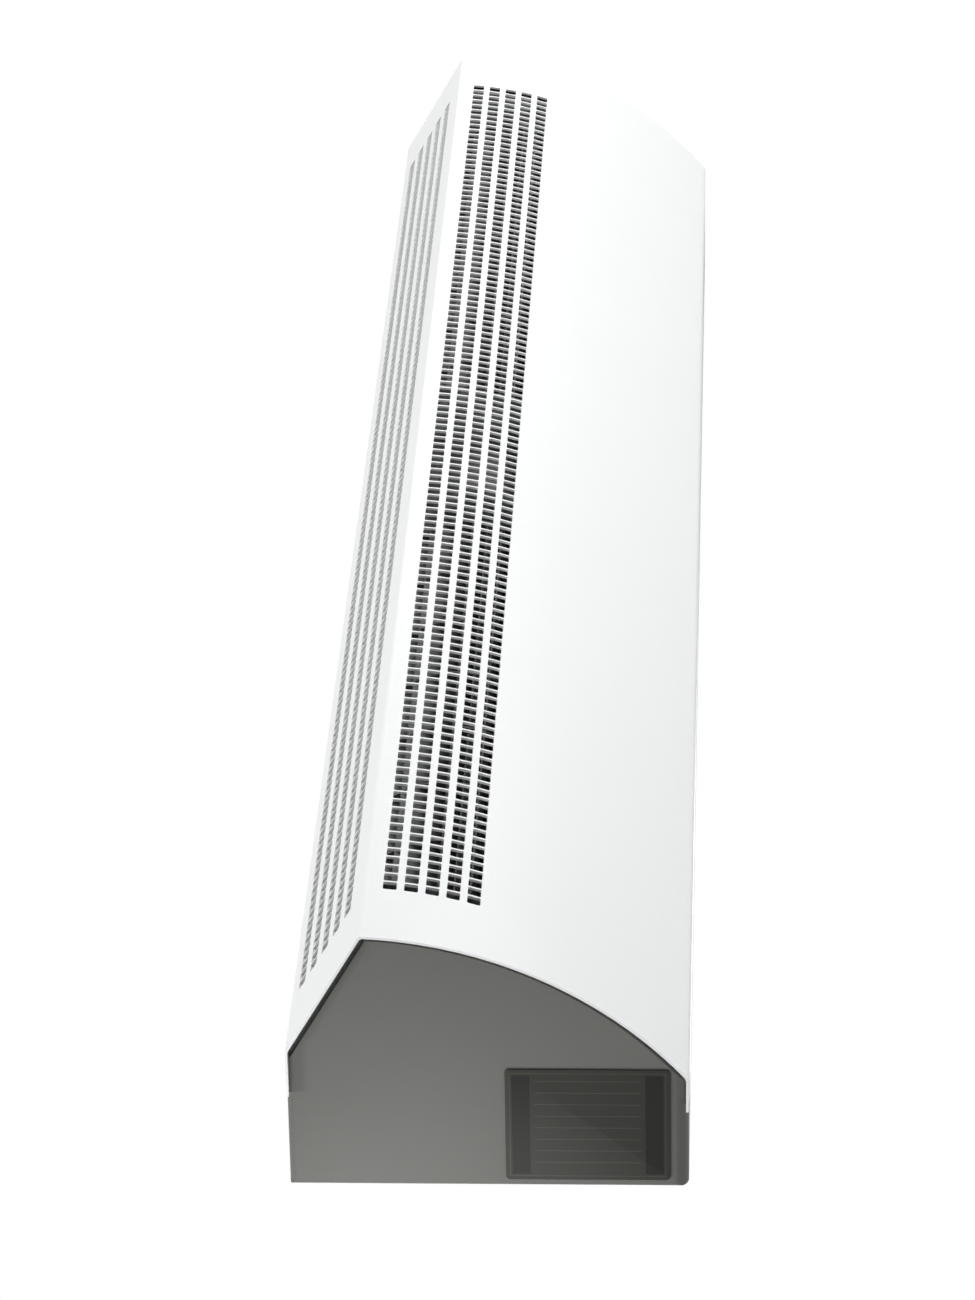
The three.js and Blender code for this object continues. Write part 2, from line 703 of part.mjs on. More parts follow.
// A steel tube with an insulating collar where it passes each side plate and a terminal pin at each end
function heater() {
  const half = [
    [collar.from, heaterRadius], [collar.from, collar.radius], [collar.to, collar.radius],
    [collar.to, heaterPin.radius], [heaterPin.end, heaterPin.radius], [heaterPin.end, 0],
  ];
  return turned([...mirrored(half, -1).reverse(), ...half], 12);
}

// A strip that links the three terminal pins of one end
function heaterLink(side) {
  const edge = (end) =>
    heaterPlaces.map(([y, z], index) => [y + (1 - index) * linkMargin, z + end * linkMargin]);
  const from = side > 0 ? linkPlace : -linkPlace - linkThickness;
  const strip = sweepX(shapeOf([...edge(1), ...edge(-1).reverse()]), from, from + linkThickness);
  const through = [from - 1, from + linkThickness + 1];
  const bore = heaterPin.radius + clearance;
  return cut(strip, ...heaterPlaces.map((place) => barX(bore, ...through, place, 12)));
}

const cutoutFront = capFace - capWall - gap;

function thermalCutout() {
  const { start, radius, wellEnd } = cutoutSize;
  const well = resetSize.radius + clearance;
  return turned([
    [start, 0], [start, radius], [cutoutFront, radius], [cutoutFront, well], [wellEnd, well], [wellEnd, 0],
  ]);
}

function resetButton() {
  const { radius, start, end, chamfer } = resetSize;
  return turned([[start, 0], [start, radius], [end - chamfer, radius], [end, radius - chamfer], [end, 0]]);
}

function terminalBlock() {
  const low = [terminalLow[0], -terminalDepth, terminalLow[1]];
  const block = boxBetween(low, [terminalHigh[0], -sheet - gap, terminalHigh[1]]);
  const { ways, pitch, first, radius, columns, depth } = terminalWells;
  const span = [-terminalDepth - 1, -terminalDepth + depth];
  const wells = [];
  for (let way = 0; way < ways; way += 1) {
    wells.push(...columns.map((x) => barY(radius, ...span, x, first + way * pitch, 10)));
  }
  return cut(block, ...wells);
}

const runCapacitor = () => barZ(capacitorRadius, ...capacitorSpan, ...capacitorPlace, 20);

// A band round the capacitor with a foot on the side plate
function capacitorClip() {
  const [x, y] = capacitorPlace;
  const band = barZ(capacitorRadius + clipThickness, 0, clipHeight, x, y, 20);
  const plateFace = -bearingPlate - sheet / 2 - gap;
  const foot = boxBetween([x, clipFoot[0], 0], [plateFace, clipFoot[1], clipHeight]);
  return cut(join(band, foot), barZ(capacitorRadius + gap, -1, clipHeight + 1, x, y, 20));
}

// A blind rubber grommet in the back wall, pierced when the supply cable is fitted
function cableGrommet() {
  const { neck, flange, rim, well, skin, depth } = grommet;
  const outer = 0.1;
  const inner = sheet + gap;
  const profile = [
    [outer, 0], [outer, neck], [inner, neck], [inner, flange],
    [depth, rim], [depth, well], [skin, well], [skin, 0],
  ];
  return turned(profile).rotateZ(-Math.PI / 2).translate(grommetPlace[0], 0, grommetPlace[1]);
}

function switchBody(depth) {
  const [wide, tall] = switchOpening.map((size) => size / 2 - gap);
  const about = (x0, x1, halfY, halfZ) =>
    boxBetween([x0, -depth - halfY, switchHeight - halfZ], [x1, -depth + halfY, switchHeight + halfZ]);
  const bezel = about(capFace + gap, capFace + bezelDepth, wide + bezelMargin, tall + bezelMargin);
  const box = about(switchBoxStart, capFace + 1, wide, tall);
  const well = about(switchWell.start, capFace + past, switchWell.halfWidth, switchWell.halfHeight);
  return cut(join(box, bezel), well);
}

// A rocker about its pivot, its face a shallow V. It tips about Y.
function rocker() {
  const { halfWidth, halfHeight, face, waist, root, rootHalf } = rockerSize;
  const outline = [
    [-root, -rootHalf], [-root, rootHalf], [0, halfHeight], [face, halfHeight],
    [waist, 0], [face, -halfHeight], [0, -halfHeight],
  ];
  return sweepFront(shapeOf(outline), -halfWidth, halfWidth);
}

function leadAlong(places, radius, steps) {
  const route = new THREE.CatmullRomCurve3(places.map((place) => new THREE.Vector3(...place)));
  const section = new THREE.Shape();
  const facets = 6;
  for (let facet = 0; facet < facets; facet += 1) {
    const angle = (facet * 2 * Math.PI) / facets;
    section[facet ? 'lineTo' : 'moveTo'](radius * Math.cos(angle), radius * Math.sin(angle));
  }
  return new THREE.ExtrudeGeometry(section, { steps, extrudePath: route, bevelEnabled: false });
}

// From the terminal block up the right compartment, along the intake chamber and down to the motor
const motorLead = () =>
  leadAlong(
    [
      [514, -12, 16], [514, -14, 34], [514, -30, 60], [512, -48, 76], [505, -55.5, 81.2], [497, -56, 81.5],
      [480, -56, 81.5], [300, -56, 81.5], [90, -56, 81.5], [60, -56, 81.5], [34, -60, 81], [14, -69, 77],
      [6, -72, 66],
    ],
    motorLeadRadius,
    34,
  );

// From the terminal block to the link on the heaters' right ends
const heaterLead = () =>
  leadAlong(
    [[513, -8, -31], [513, -8, -50], [513, -20, -61], [513, -36, -61], [513, -43, -53.6]],
    heaterLeadRadius,
    12,
  );

// ---- assembly ----

const airCurtain = new THREE.Group();

function add(parent, name, geometry, material) {
  const mesh = new THREE.Mesh(geometry, material);
  mesh.name = name;
  parent.add(mesh);
  return mesh;
}

function groupAt(x, [y, z]) {
  const group = new THREE.Group();
  group.position.set(x, y, z);
  airCurtain.add(group);
  return group;
}

const sides = { left: -1, right: 1 };

function addCasing() {
  add(airCurtain, 'front_cover', frontCover(), finish.whitePaint);
  add(airCurtain, 'back_tray', backTray(), finish.whitePaint);
  add(airCurtain, 'end_cap_left', endCap(-1), finish.greyPlastic);
  add(airCurtain, 'end_cap_right', rightEndCap(), finish.greyPlastic);
  add(airCurtain, 'rating_plate', ratingPlate(), finish.foil);
  coverScrewStations.forEach((x, index) => {
    add(airCurtain, `cover_screw_top_${index + 1}`, coverScrew(x, topScrewDepth, 1), finish.steel);
    add(airCurtain, `cover_screw_bottom_${index + 1}`, coverScrew(x, lowerScrewDepth, -1), finish.steel);
  });
}

function addAirPath() {
  add(airCurtain, 'scroll', scroll(), finish.galvanised);
  add(airCurtain, 'vortex_tongue', tongue(), finish.galvanised);
  add(airCurtain, 'outlet_rail', outletRail(), finish.aluminium);
  add(airCurtain, 'vane_support', vaneSupport(), finish.galvanised);
  for (const [name, side] of Object.entries(sides)) {
    add(airCurtain, `outlet_end_${name}`, outletEnd(side), finish.aluminium);
    add(airCurtain, `side_plate_${name}`, sidePlate(side), finish.galvanised);
    add(airCurtain, `motor_bay_plate_${name}`, motorBayPlate(side), finish.galvanised);
  }
  const vane = groupAt(0, vaneAxis);
  add(vane, 'deflector_vane', deflectorVane(), finish.aluminium);
  for (const [name, side] of Object.entries(sides)) {
    add(vane, `vane_pin_${name}`, vanePin(side), finish.steel);
  }
}

function addFan() {
  const fan = groupAt(0, fanAxis);
  add(fan, 'motor_housing', motorHousing(), finish.galvanised);
  add(fan, 'motor_bracket', motorBracket(), finish.galvanised);
  const { inner, outer, half } = statorSize;
  add(fan, 'motor_stator', ring(inner, outer, -half, half, 20), finish.copper);
  add(fan, 'motor_rotor', ring(shaftRadius + gap, inner - 0.6, -half, half, 20), finish.aluminium);
  add(fan, 'motor_shaft', motorShaft(), finish.steel);
  for (const [name, side] of Object.entries(sides)) {
    const span = (from, to) => (side > 0 ? [from, to] : [-to, -from]);
    const bearing = (radius, from, to) => ring(runningBore, radius, ...span(from, to), 20);
    const motorBearing = bearing(bearingRadius.motor, motorHalf - 2, motorBossEnd - motorLip - clearance);
    const motorRing = ring(motorBossRadius + gap, ringRadius, ...span(...ringSpan));
    const wheelBearing = bearing(bearingRadius.wheel, cushionSize.start + 2, cushionSize.end - 2);
    add(fan, `motor_ring_${name}`, motorRing, finish.rubber);
    add(fan, `motor_bearing_${name}`, motorBearing, finish.bronze);
    add(fan, `hub_${name}`, hub(side), finish.rubber);
    add(fan, `impeller_${name}`, impeller(side), finish.aluminium);
    add(fan, `stub_shaft_${name}`, stubShaft(side), finish.steel);
    add(fan, `bearing_${name}`, wheelBearing, finish.bronze);
    add(fan, `bearing_cushion_${name}`, bearingCushion(side), finish.rubber);
  }
  bracketScrews.forEach((place, index) => {
    add(airCurtain, `motor_screw_${index + 1}`, bracketScrew(place), finish.steel);
  });
}

function addHeatAndControls() {
  heaterPlaces.forEach((place, index) => {
    add(groupAt(0, place), `heater_${index + 1}`, heater(), finish.steel);
  });
  add(airCurtain, 'heater_link_left', heaterLink(-1), finish.copper);
  add(airCurtain, 'heater_link_right', heaterLink(1), finish.copper);
  const limiter = groupAt(0, resetPlace);
  add(limiter, 'thermal_cutout', thermalCutout(), finish.paleInsulator);
  add(limiter, 'reset_button', resetButton(), finish.redButton);
  add(airCurtain, 'terminal_block', terminalBlock(), finish.paleInsulator);
  add(airCurtain, 'run_capacitor', runCapacitor(), finish.paleInsulator);
  add(airCurtain, 'capacitor_clip', capacitorClip(), finish.galvanised);
  add(airCurtain, 'cable_grommet', cableGrommet(), finish.rubber);
  add(airCurtain, 'motor_lead', motorLead(), finish.blackPlastic);
  add(airCurtain, 'heater_lead', heaterLead(), finish.blackPlastic);
  ['fan', 'heat'].forEach((name, index) => {
    add(airCurtain, `${name}_switch_body`, switchBody(switchDepths[index]), finish.blackPlastic);
    const pivot = groupAt(switchPivot, [-switchDepths[index], switchHeight]);
    pivot.rotation.y = name === 'fan' ? rockerThrow : 0; // the fan switch rests switched off
    add(pivot, `${name}_rocker`, rocker(), finish.blackPlastic);
  });
}

addCasing();
addAirPath();
addFan();
addHeatAndControls();

export default airCurtain;
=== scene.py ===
import json
import math

import bmesh
import bpy
from mathutils import Matrix, Vector


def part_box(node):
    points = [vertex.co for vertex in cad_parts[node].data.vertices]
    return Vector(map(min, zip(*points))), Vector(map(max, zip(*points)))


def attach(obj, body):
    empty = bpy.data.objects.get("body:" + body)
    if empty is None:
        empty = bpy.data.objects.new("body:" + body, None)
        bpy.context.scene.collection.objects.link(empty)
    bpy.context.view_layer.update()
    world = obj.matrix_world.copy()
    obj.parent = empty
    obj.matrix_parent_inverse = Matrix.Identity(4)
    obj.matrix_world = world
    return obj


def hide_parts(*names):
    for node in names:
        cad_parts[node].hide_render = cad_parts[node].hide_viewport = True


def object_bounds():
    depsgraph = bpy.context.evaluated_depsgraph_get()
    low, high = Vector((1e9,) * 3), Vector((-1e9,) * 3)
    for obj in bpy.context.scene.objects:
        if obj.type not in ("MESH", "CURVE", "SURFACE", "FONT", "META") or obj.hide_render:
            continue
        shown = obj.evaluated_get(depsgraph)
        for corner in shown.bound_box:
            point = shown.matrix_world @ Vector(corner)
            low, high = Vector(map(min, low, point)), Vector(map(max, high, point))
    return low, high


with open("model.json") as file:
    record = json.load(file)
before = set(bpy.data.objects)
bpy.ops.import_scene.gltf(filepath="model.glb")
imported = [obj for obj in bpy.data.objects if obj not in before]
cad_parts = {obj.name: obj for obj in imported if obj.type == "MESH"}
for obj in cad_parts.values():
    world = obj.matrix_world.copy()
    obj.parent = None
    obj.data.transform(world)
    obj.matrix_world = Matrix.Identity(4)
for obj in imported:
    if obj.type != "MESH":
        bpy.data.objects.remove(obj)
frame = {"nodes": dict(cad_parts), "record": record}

# A wall-hung air curtain, in metres: +X along it, the wall at Y = 0, the front towards -Y, +Z up.
# A section point is (y, z).
cadLow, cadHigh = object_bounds()
mm = 0.001


# working by hand: adding, selecting, extruding

def letGo():
    if bpy.context.object and bpy.context.object.mode != "OBJECT":
        bpy.ops.object.mode_set(mode="OBJECT")
    bpy.ops.object.select_all(action="DESELECT")


def start(name, addPrimitive, **settings):
    # a new primitive, open in edit mode with its place in its mesh
    letGo()
    addPrimitive(**settings)
    piece = bpy.context.object
    piece.name = name
    piece.data.name = name
    bpy.ops.object.transform_apply(location=True, rotation=True, scale=True)
    bpy.ops.object.mode_set(mode="EDIT")
    return piece


def startBox(name, low, high):
    size = [b - a for a, b in zip(low, high)]
    centre = [(a + b) / 2 for a, b in zip(low, high)]
    return start(name, bpy.ops.mesh.primitive_cube_add, size=1, location=centre, scale=size)


def startRod(name, axis, radius, low, high, place, sides=32):
    # a cylinder along one axis from low to high
    centre = list(place)
    centre["xyz".index(axis)] = (low + high) / 2
    turn = {"x": (0, math.pi / 2, 0), "y": (math.pi / 2, 0, 0), "z": (0, 0, 0)}[axis]
    return start(
        name, bpy.ops.mesh.primitive_cylinder_add, vertices=sides, radius=radius, depth=high - low,
        location=centre, rotation=turn,
    )


def startPoint(name, place):
    # one vertex at a place, to draw from
    piece = start(name, bpy.ops.mesh.primitive_plane_add, size=mm, location=place)
    bpy.ops.mesh.merge(type="CENTER")
    bpy.ops.mesh.select_mode(type="VERT")
    pickAll()
    return piece


def takeUp(piece):
    # the active object and the only one selected
    letGo()
    bpy.context.view_layer.objects.active = piece
    piece.select_set(True)


def reopen(piece):
    takeUp(piece)
    bpy.ops.object.mode_set(mode="EDIT")


def middle(part):
    places = [point.co for point in part.verts]
    return sum(places, Vector()) / len(places)


def pick(kind, test):
    # selects the faces or edges that pass a test of their place or size
    bpy.ops.mesh.select_mode(type={"edges": "EDGE", "faces": "FACE"}[kind])
    bpy.ops.mesh.select_all(action="DESELECT")
    mesh = bmesh.from_edit_mesh(bpy.context.edit_object.data)
    for part in getattr(mesh, kind):
        if test(part):
            part.select_set(True)
    mesh.select_flush_mode()
    bmesh.update_edit_mesh(bpy.context.edit_object.data)


def pickAll():
    bpy.ops.mesh.select_all(action="SELECT")


def bevelEdges(width, segments, profile=0.5):
    bpy.ops.mesh.bevel(offset=width, segments=segments, profile=profile, affect="EDGES")


def near(value, target, within=0.05 * mm):
    return abs(value - target) < within


def edgeAt(*points):
    # a test for edges that run along X through one of these section points
    def test(edge):
        place = middle(edge)
        level = all(near(end.co.y, place.y) and near(end.co.z, place.z) for end in edge.verts)
        return level and any(near(place.y, y) and near(place.z, z) for y, z in points)
    return test


def pushOut(x=0, y=0, z=0):
    bpy.ops.mesh.extrude_region_move(TRANSFORM_OT_translate={"value": (x, y, z)})


def drawTo(here, there):
    # extrudes the selected vertex or edge from one section point to the next
    pushOut(0, there[0] - here[0], there[1] - here[1])
    return Vector(there)


def swingTo(degrees, steps):
    # extrudes the selection round the centre of the curved front, a positive angle from the crease downwards
    bpy.ops.mesh.spin(steps=steps, angle=-math.radians(degrees), center=(0, *arcCentre), axis=(1, 0, 0))


def facesOut(test=None, direction=(0, 0, 1)):
    # one way round for all faces. On an open sheet the faces that pass the test look along the direction.
    pickAll()
    bpy.ops.mesh.normals_make_consistent(inside=False)
    if test:
        mesh = bmesh.from_edit_mesh(bpy.context.edit_object.data)
        facing = sum(face.normal.dot(Vector(direction)) for face in mesh.faces if test(face))
        if facing < 0:
            bpy.ops.mesh.flip_normals()


def modify(piece, kind, **settings):
    takeUp(piece)
    modifier = piece.modifiers.new(kind.title(), kind)
    for name, value in settings.items():
        setattr(modifier, name, value)
    bpy.ops.object.modifier_apply(modifier=modifier.name)


def soften(piece, width, segments=2):
    modify(
        piece, "BEVEL", width=width, segments=segments, limit_method="ANGLE", angle_limit=math.radians(30)
    )


def repeat(piece, count, pitch, **settings):
    # copies in a row along X
    modify(
        piece, "ARRAY", count=count, use_relative_offset=False, use_constant_offset=True,
        constant_offset_displace=(pitch, 0, 0), **settings,
    )


def carve(piece, operation, *tools):
    # boolean with each tool in turn, which is then thrown away
    for tool in tools:
        modify(piece, "BOOLEAN", operation=operation, solver="EXACT", object=tool)
        bpy.data.objects.remove(tool)


def middleOf(node):
    return sum(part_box(node), Vector()) / 2


def copyOf(piece, name, move=(0, 0, 0)):
    letGo()
    other = piece.copy()
    other.data = piece.data.copy()
    other.name = name
    other.data.name = name
    bpy.context.scene.collection.objects.link(other)
    other.data.transform(Matrix.Translation(move))
    return other


def fuse(name, *pieces):
    letGo()
    for piece in pieces:
        piece.select_set(True)
    bpy.context.view_layer.objects.active = pieces[0]
    bpy.ops.object.join()
    pieces[0].name = name
    pieces[0].data.name = name
    return pieces[0]


def closeOutline():
    # merges the ends of a drawn outline and fills it
    pickAll()
    bpy.ops.mesh.remove_doubles(threshold=0.01 * mm)
    bpy.ops.mesh.edge_face_add()


def makeBar(name, outline, low, high):
    # a closed section outline drawn point by point and pushed along X
    piece = startPoint(name, (low, *outline[0]))
    here = outline[0]
    for there in outline[1:] + outline[:1]:
        here = drawTo(here, there)
    closeOutline()
    pushOut(x=high - low)
    facesOut()
    return piece


def makeSheet(name, line, low, high, bend=0):
    # a bent line pushed along X, its bends rounded, thickened to the left of the line
    piece = startPoint(name, (low, *line[0]))
    here = line[0]
    for there in line[1:]:
        here = drawTo(here, there)
    pickAll()
    pushOut(x=high - low)
    if bend:
        pick("edges", edgeAt(*line[1:-1]))
        bevelEdges(bend, 3)
    first = Vector(line[1]) - Vector(line[0])
    outside = (0, first.y, -first.x)
    where = (Vector(line[0]) + Vector(line[1])) / 2
    facesOut(lambda face: (middle(face).yz - where).length < 3 * mm, outside)
    modify(piece, "SOLIDIFY", thickness=sheet, offset=-1, use_even_offset=True)
    return piece


def makeTurned(name, axis, place, profile, steps=48):
    # a profile of (along, radius) points turned round an axis through a place
    number = "xyz".index(axis)
    side = {"x": 2, "y": 2, "z": 0}[axis]

    def at(along, radius):
        spot = list(place)
        spot[number] = along
        spot[side] += radius
        return Vector(spot)

    points = [at(*point) for point in profile]
    if profile[0][1] > 0:
        points.append(points[0])
    piece = startPoint(name, points[0])
    for here, there in zip(points, points[1:]):
        pushOut(*(there - here))
    pickAll()
    direction = [0, 0, 0]
    direction[number] = 1
    bpy.ops.mesh.spin(steps=steps, angle=2 * math.pi, center=place, axis=direction)
    pickAll()
    bpy.ops.mesh.remove_doubles(threshold=0.005 * mm)
    facesOut()
    return piece


# finishes

class Wire:
    # a socket that takes part in sums
    def __init__(self, finish, socket):
        self.finish = finish
        self.socket = socket

    def sum(self, operation, first, second=0.0):
        return self.finish.node("ShaderNodeMath", {"operation": operation}, {0: first, 1: second})

    def __add__(self, other):
        return self.sum("ADD", self, other)

    def __radd__(self, other):
        return self.sum("ADD", other, self)

    def __sub__(self, other):
        return self.sum("SUBTRACT", self, other)

    def __rsub__(self, other):
        return self.sum("SUBTRACT", other, self)

    def __mul__(self, other):
        return self.sum("MULTIPLY", self, other)

    def __rmul__(self, other):
        return self.sum("MULTIPLY", other, self)

    def __lt__(self, other):
        return self.sum("LESS_THAN", self, other)

    def __gt__(self, other):
        return self.sum("GREATER_THAN", self, other)

    def __abs__(self):
        return self.sum("ABSOLUTE", self)

    def larger(self, other):
        return self.sum("MAXIMUM", self, other)


class Finish:
    # a material: its shader, and the nodes that feed it
    def __init__(self, name, **fixed):
        self.material = bpy.data.materials.new(name)
        self.material.use_nodes = True
        self.tree = self.material.node_tree
        self.shader = self.tree.nodes["Principled BSDF"]
        for socket, value in fixed.items():
            self.shader.inputs[socket.replace("_", " ")].default_value = value
        self.place = self.node("ShaderNodeTexCoord", output="Object")

    def node(self, kind, settings=None, inputs=None, output=0):
        made = self.tree.nodes.new(kind)
        for name, value in (settings or {}).items():
            setattr(made, name, value)
        for socket, value in (inputs or {}).items():
            if isinstance(value, Wire):
                self.tree.links.new(value.socket, made.inputs[socket])
            else:
                made.inputs[socket].default_value = value
        return Wire(self, made.outputs[output])

    def axes(self):
        split = self.node("ShaderNodeSeparateXYZ", {}, {0: self.place})
        outputs = split.socket.node.outputs
        return [Wire(self, outputs[number]) for number in range(3)]

    def noise(self, perMetre, detail=2.0, stretch=None, roughness=0.5):
        place = self.place
        if stretch:
            place = self.node("ShaderNodeMapping", {}, {"Vector": place, "Scale": stretch})
        settings = {"Vector": place, "Scale": perMetre, "Detail": detail, "Roughness": roughness}
        return self.node("ShaderNodeTexNoise", {"noise_dimensions": "3D"}, settings)

    def cells(self, perMetre, output="Distance"):
        settings = {"Vector": self.place, "Scale": perMetre}
        return self.node("ShaderNodeTexVoronoi", {}, settings, output)

    def blend(self, share, first, second):
        settings = {"data_type": "RGBA", "clamp_factor": True}
        return self.node("ShaderNodeMix", settings, {0: share, 6: first, 7: second}, output=2)

    def feed(self, socket, wire):
        self.tree.links.new(wire.socket, self.shader.inputs[socket])

    def dress(self, colour, rough, bump=None):
        # the bump is (height, strength, depth)
        self.feed("Base Color", colour)
        self.feed("Roughness", rough)
        if bump:
            inputs = dict(zip(("Height", "Strength", "Distance"), bump))
            self.feed("Normal", self.node("ShaderNodeBump", {}, inputs))
        return self.material


def grey(level, warmth=0.0):
    return (level * (1 + warmth), level, level * (1 - warmth), 1)


def whitePowderCoat():
    # semi-gloss powder coat: an even white, the faint orange peel of a cured coat, fine dust in it
    look = {"white": (0.80, 0.808, 0.81, 1), "cooler": (0.775, 0.79, 0.795, 1), "peel": 420, "fine": 1500}
    finish = Finish("white_powder_coat", Specular_IOR_Level=0.45)
    clouds = finish.noise(7, 3)
    peel = finish.noise(look["peel"], 2)
    fine = finish.noise(look["fine"], 1)
    colour = finish.blend(clouds, look["white"], look["cooler"])
    return finish.dress(colour, 0.36 + 0.08 * fine + 0.05 * clouds, (peel + 0.3 * fine, 0.10, 0.12 * mm))


def satinGreyPlastic():
    # moulded cap: spark-eroded grain, a little mottling
    look = {"grey": (0.106, 0.107, 0.099, 1), "paler": (0.123, 0.124, 0.115, 1), "grain": 1900}
    finish = Finish("satin_grey_plastic", Specular_IOR_Level=0.3)
    grain = finish.noise(look["grain"], 3, roughness=0.65)
    clouds = finish.noise(26, 3)
    colour = finish.blend(0.6 * clouds + 0.4 * grain, look["grey"], look["paler"])
    return finish.dress(colour, 0.46 + 0.16 * grain, (grain, 0.35, 0.10 * mm))


def printedFoil(low, high):
    # the blank plate: a printed edge line, two dark bands and empty ruled rows on dark foil
    look = {
        "foil": (0.020, 0.022, 0.016, 1), "pale": (0.052, 0.055, 0.042, 1), "dark": (0.008, 0.008, 0.007, 1),
        "speck": grey(0.036, 0.03),
    }
    rule = {
        "inset": 1.9 * mm, "width": 0.35 * mm, "band": 9.5 * mm, "row": 6.2 * mm, "margin": 5 * mm,
        "bandMargin": 1.2 * mm, "bandGap": 2 * mm,
    }
    finish = Finish("printed_foil", Metallic=0.1, Specular_IOR_Level=0.3)
    x, y, z = finish.axes()
    fromMiddleY = abs(y - (low.y + high.y) / 2)
    fromMiddleZ = abs(z - (low.z + high.z) / 2)
    halfY = (high.y - low.y) / 2
    halfZ = (high.z - low.z) / 2
    bandEdge = halfZ - rule["inset"] - rule["band"]
    edge = (fromMiddleY - halfY).larger(fromMiddleZ - halfZ)
    border = (edge > -rule["inset"] - rule["width"]) * (edge < -rule["inset"])
    inBand = (fromMiddleZ > bandEdge) * (edge < -rule["inset"] - rule["bandMargin"])
    between = fromMiddleZ < bandEdge - rule["bandGap"]
    phase = finish.node("ShaderNodeMath", {"operation": "PINGPONG"}, {0: y - low.y, 1: rule["row"] / 2})
    rows = (phase < rule["width"] / 2) * between * (edge < -rule["margin"])
    speck = finish.noise(900, 2)
    base = finish.blend(speck * 0.5, look["foil"], look["speck"])
    ruled = finish.blend(border.larger(rows), base, look["pale"])
    colour = finish.blend(inBand, ruled, look["dark"])
    return finish.dress(colour, 0.55 + 0.14 * speck, (speck, 0.08, 0.05 * mm))


def galvanisedSheet():
    # zinc spangle: crystals with a tone and a dullness of their own
    look = {"dark": (0.27, 0.285, 0.295, 1), "light": (0.42, 0.43, 0.44, 1), "crystal": 150}
    finish = Finish("galvanised_sheet", Metallic=0.9)
    crystal = finish.cells(look["crystal"], output="Color")
    tone = finish.node("ShaderNodeSeparateColor", {}, {0: crystal})
    haze = finish.noise(60, 4)
    colour = finish.blend(0.7 * tone + 0.3 * haze, look["dark"], look["light"])
    return finish.dress(colour, 0.34 + 0.2 * tone + 0.08 * haze, (tone, 0.05, 0.03 * mm))


def satinAluminium(name, dark, light, rough):
    # fine drawing lines along X
    finish = Finish(name, Metallic=0.95)
    lines = finish.noise(1, 4, stretch=(25, 2600, 2600))
    haze = finish.noise(35, 3)
    colour = finish.blend(0.7 * lines + 0.3 * haze, dark, light)
    return finish.dress(colour, rough + 0.2 * lines, (lines, 0.10, 0.02 * mm))


def zincSteel(name, tint, deep, rough):
    finish = Finish(name, Metallic=1.0)
    haze = finish.noise(260, 4)
    scuffs = finish.noise(1800, 2)
    colour = finish.blend(haze, tint, deep)
    return finish.dress(colour, rough + 0.18 * haze + 0.06 * scuffs, (scuffs, 0.08, 0.02 * mm))


def heaterSteel():
    # stainless tube with a straw and blue heat tint in drifting patches
    look = {"steel": (0.46, 0.44, 0.40, 1), "straw": (0.40, 0.31, 0.20, 1), "blue": (0.22, 0.23, 0.27, 1)}
    finish = Finish("heater_steel", Metallic=1.0)
    drift = finish.noise(9, 3, stretch=(1, 0.2, 0.2))
    lines = finish.noise(1, 3, stretch=(40, 2200, 2200))
    tinted = finish.blend(drift, look["steel"], look["straw"])
    return finish.dress(finish.blend(0.35 * lines, tinted, look["blue"]), 0.3 + 0.2 * lines)


def mattRubber():
    finish = Finish("matt_rubber", Specular_IOR_Level=0.35)
    bloom = finish.noise(120, 4)
    grain = finish.noise(1600, 2)
    colour = finish.blend(bloom, grey(0.022), grey(0.038))
    return finish.dress(colour, 0.72 + 0.16 * grain, (grain, 0.3, 0.06 * mm))


def sinteredBronze():
    look = {"bronze": (0.42, 0.27, 0.12, 1), "oiled": (0.30, 0.18, 0.08, 1)}
    finish = Finish("sintered_bronze", Metallic=0.85)
    pores = finish.cells(2600)
    haze = finish.noise(300, 3)
    colour = finish.blend(haze, look["bronze"], look["oiled"])
    return finish.dress(colour, 0.38 + 0.22 * haze, (pores, 0.4, 0.05 * mm))


def enamelledCopper():
    look = {"deep": (0.36, 0.14, 0.06, 1), "bright": (0.52, 0.25, 0.13, 1)}
    finish = Finish("enamelled_copper", Metallic=0.8, Coat_Weight=0.3, Coat_Roughness=0.2)
    wires = finish.noise(1, 2, stretch=(40, 1500, 1500))
    colour = finish.blend(wires, look["deep"], look["bright"])
    return finish.dress(colour, 0.28 + 0.18 * wires, (wires, 0.3, 0.1 * mm))


def mouldedPlastic(name, colour, other, rough, grain=1400):
    finish = Finish(name)
    clouds = finish.noise(40, 3)
    fine = finish.noise(grain, 2)
    return finish.dress(finish.blend(clouds, colour, other), rough + 0.12 * fine, (fine, 0.2, 0.05 * mm))


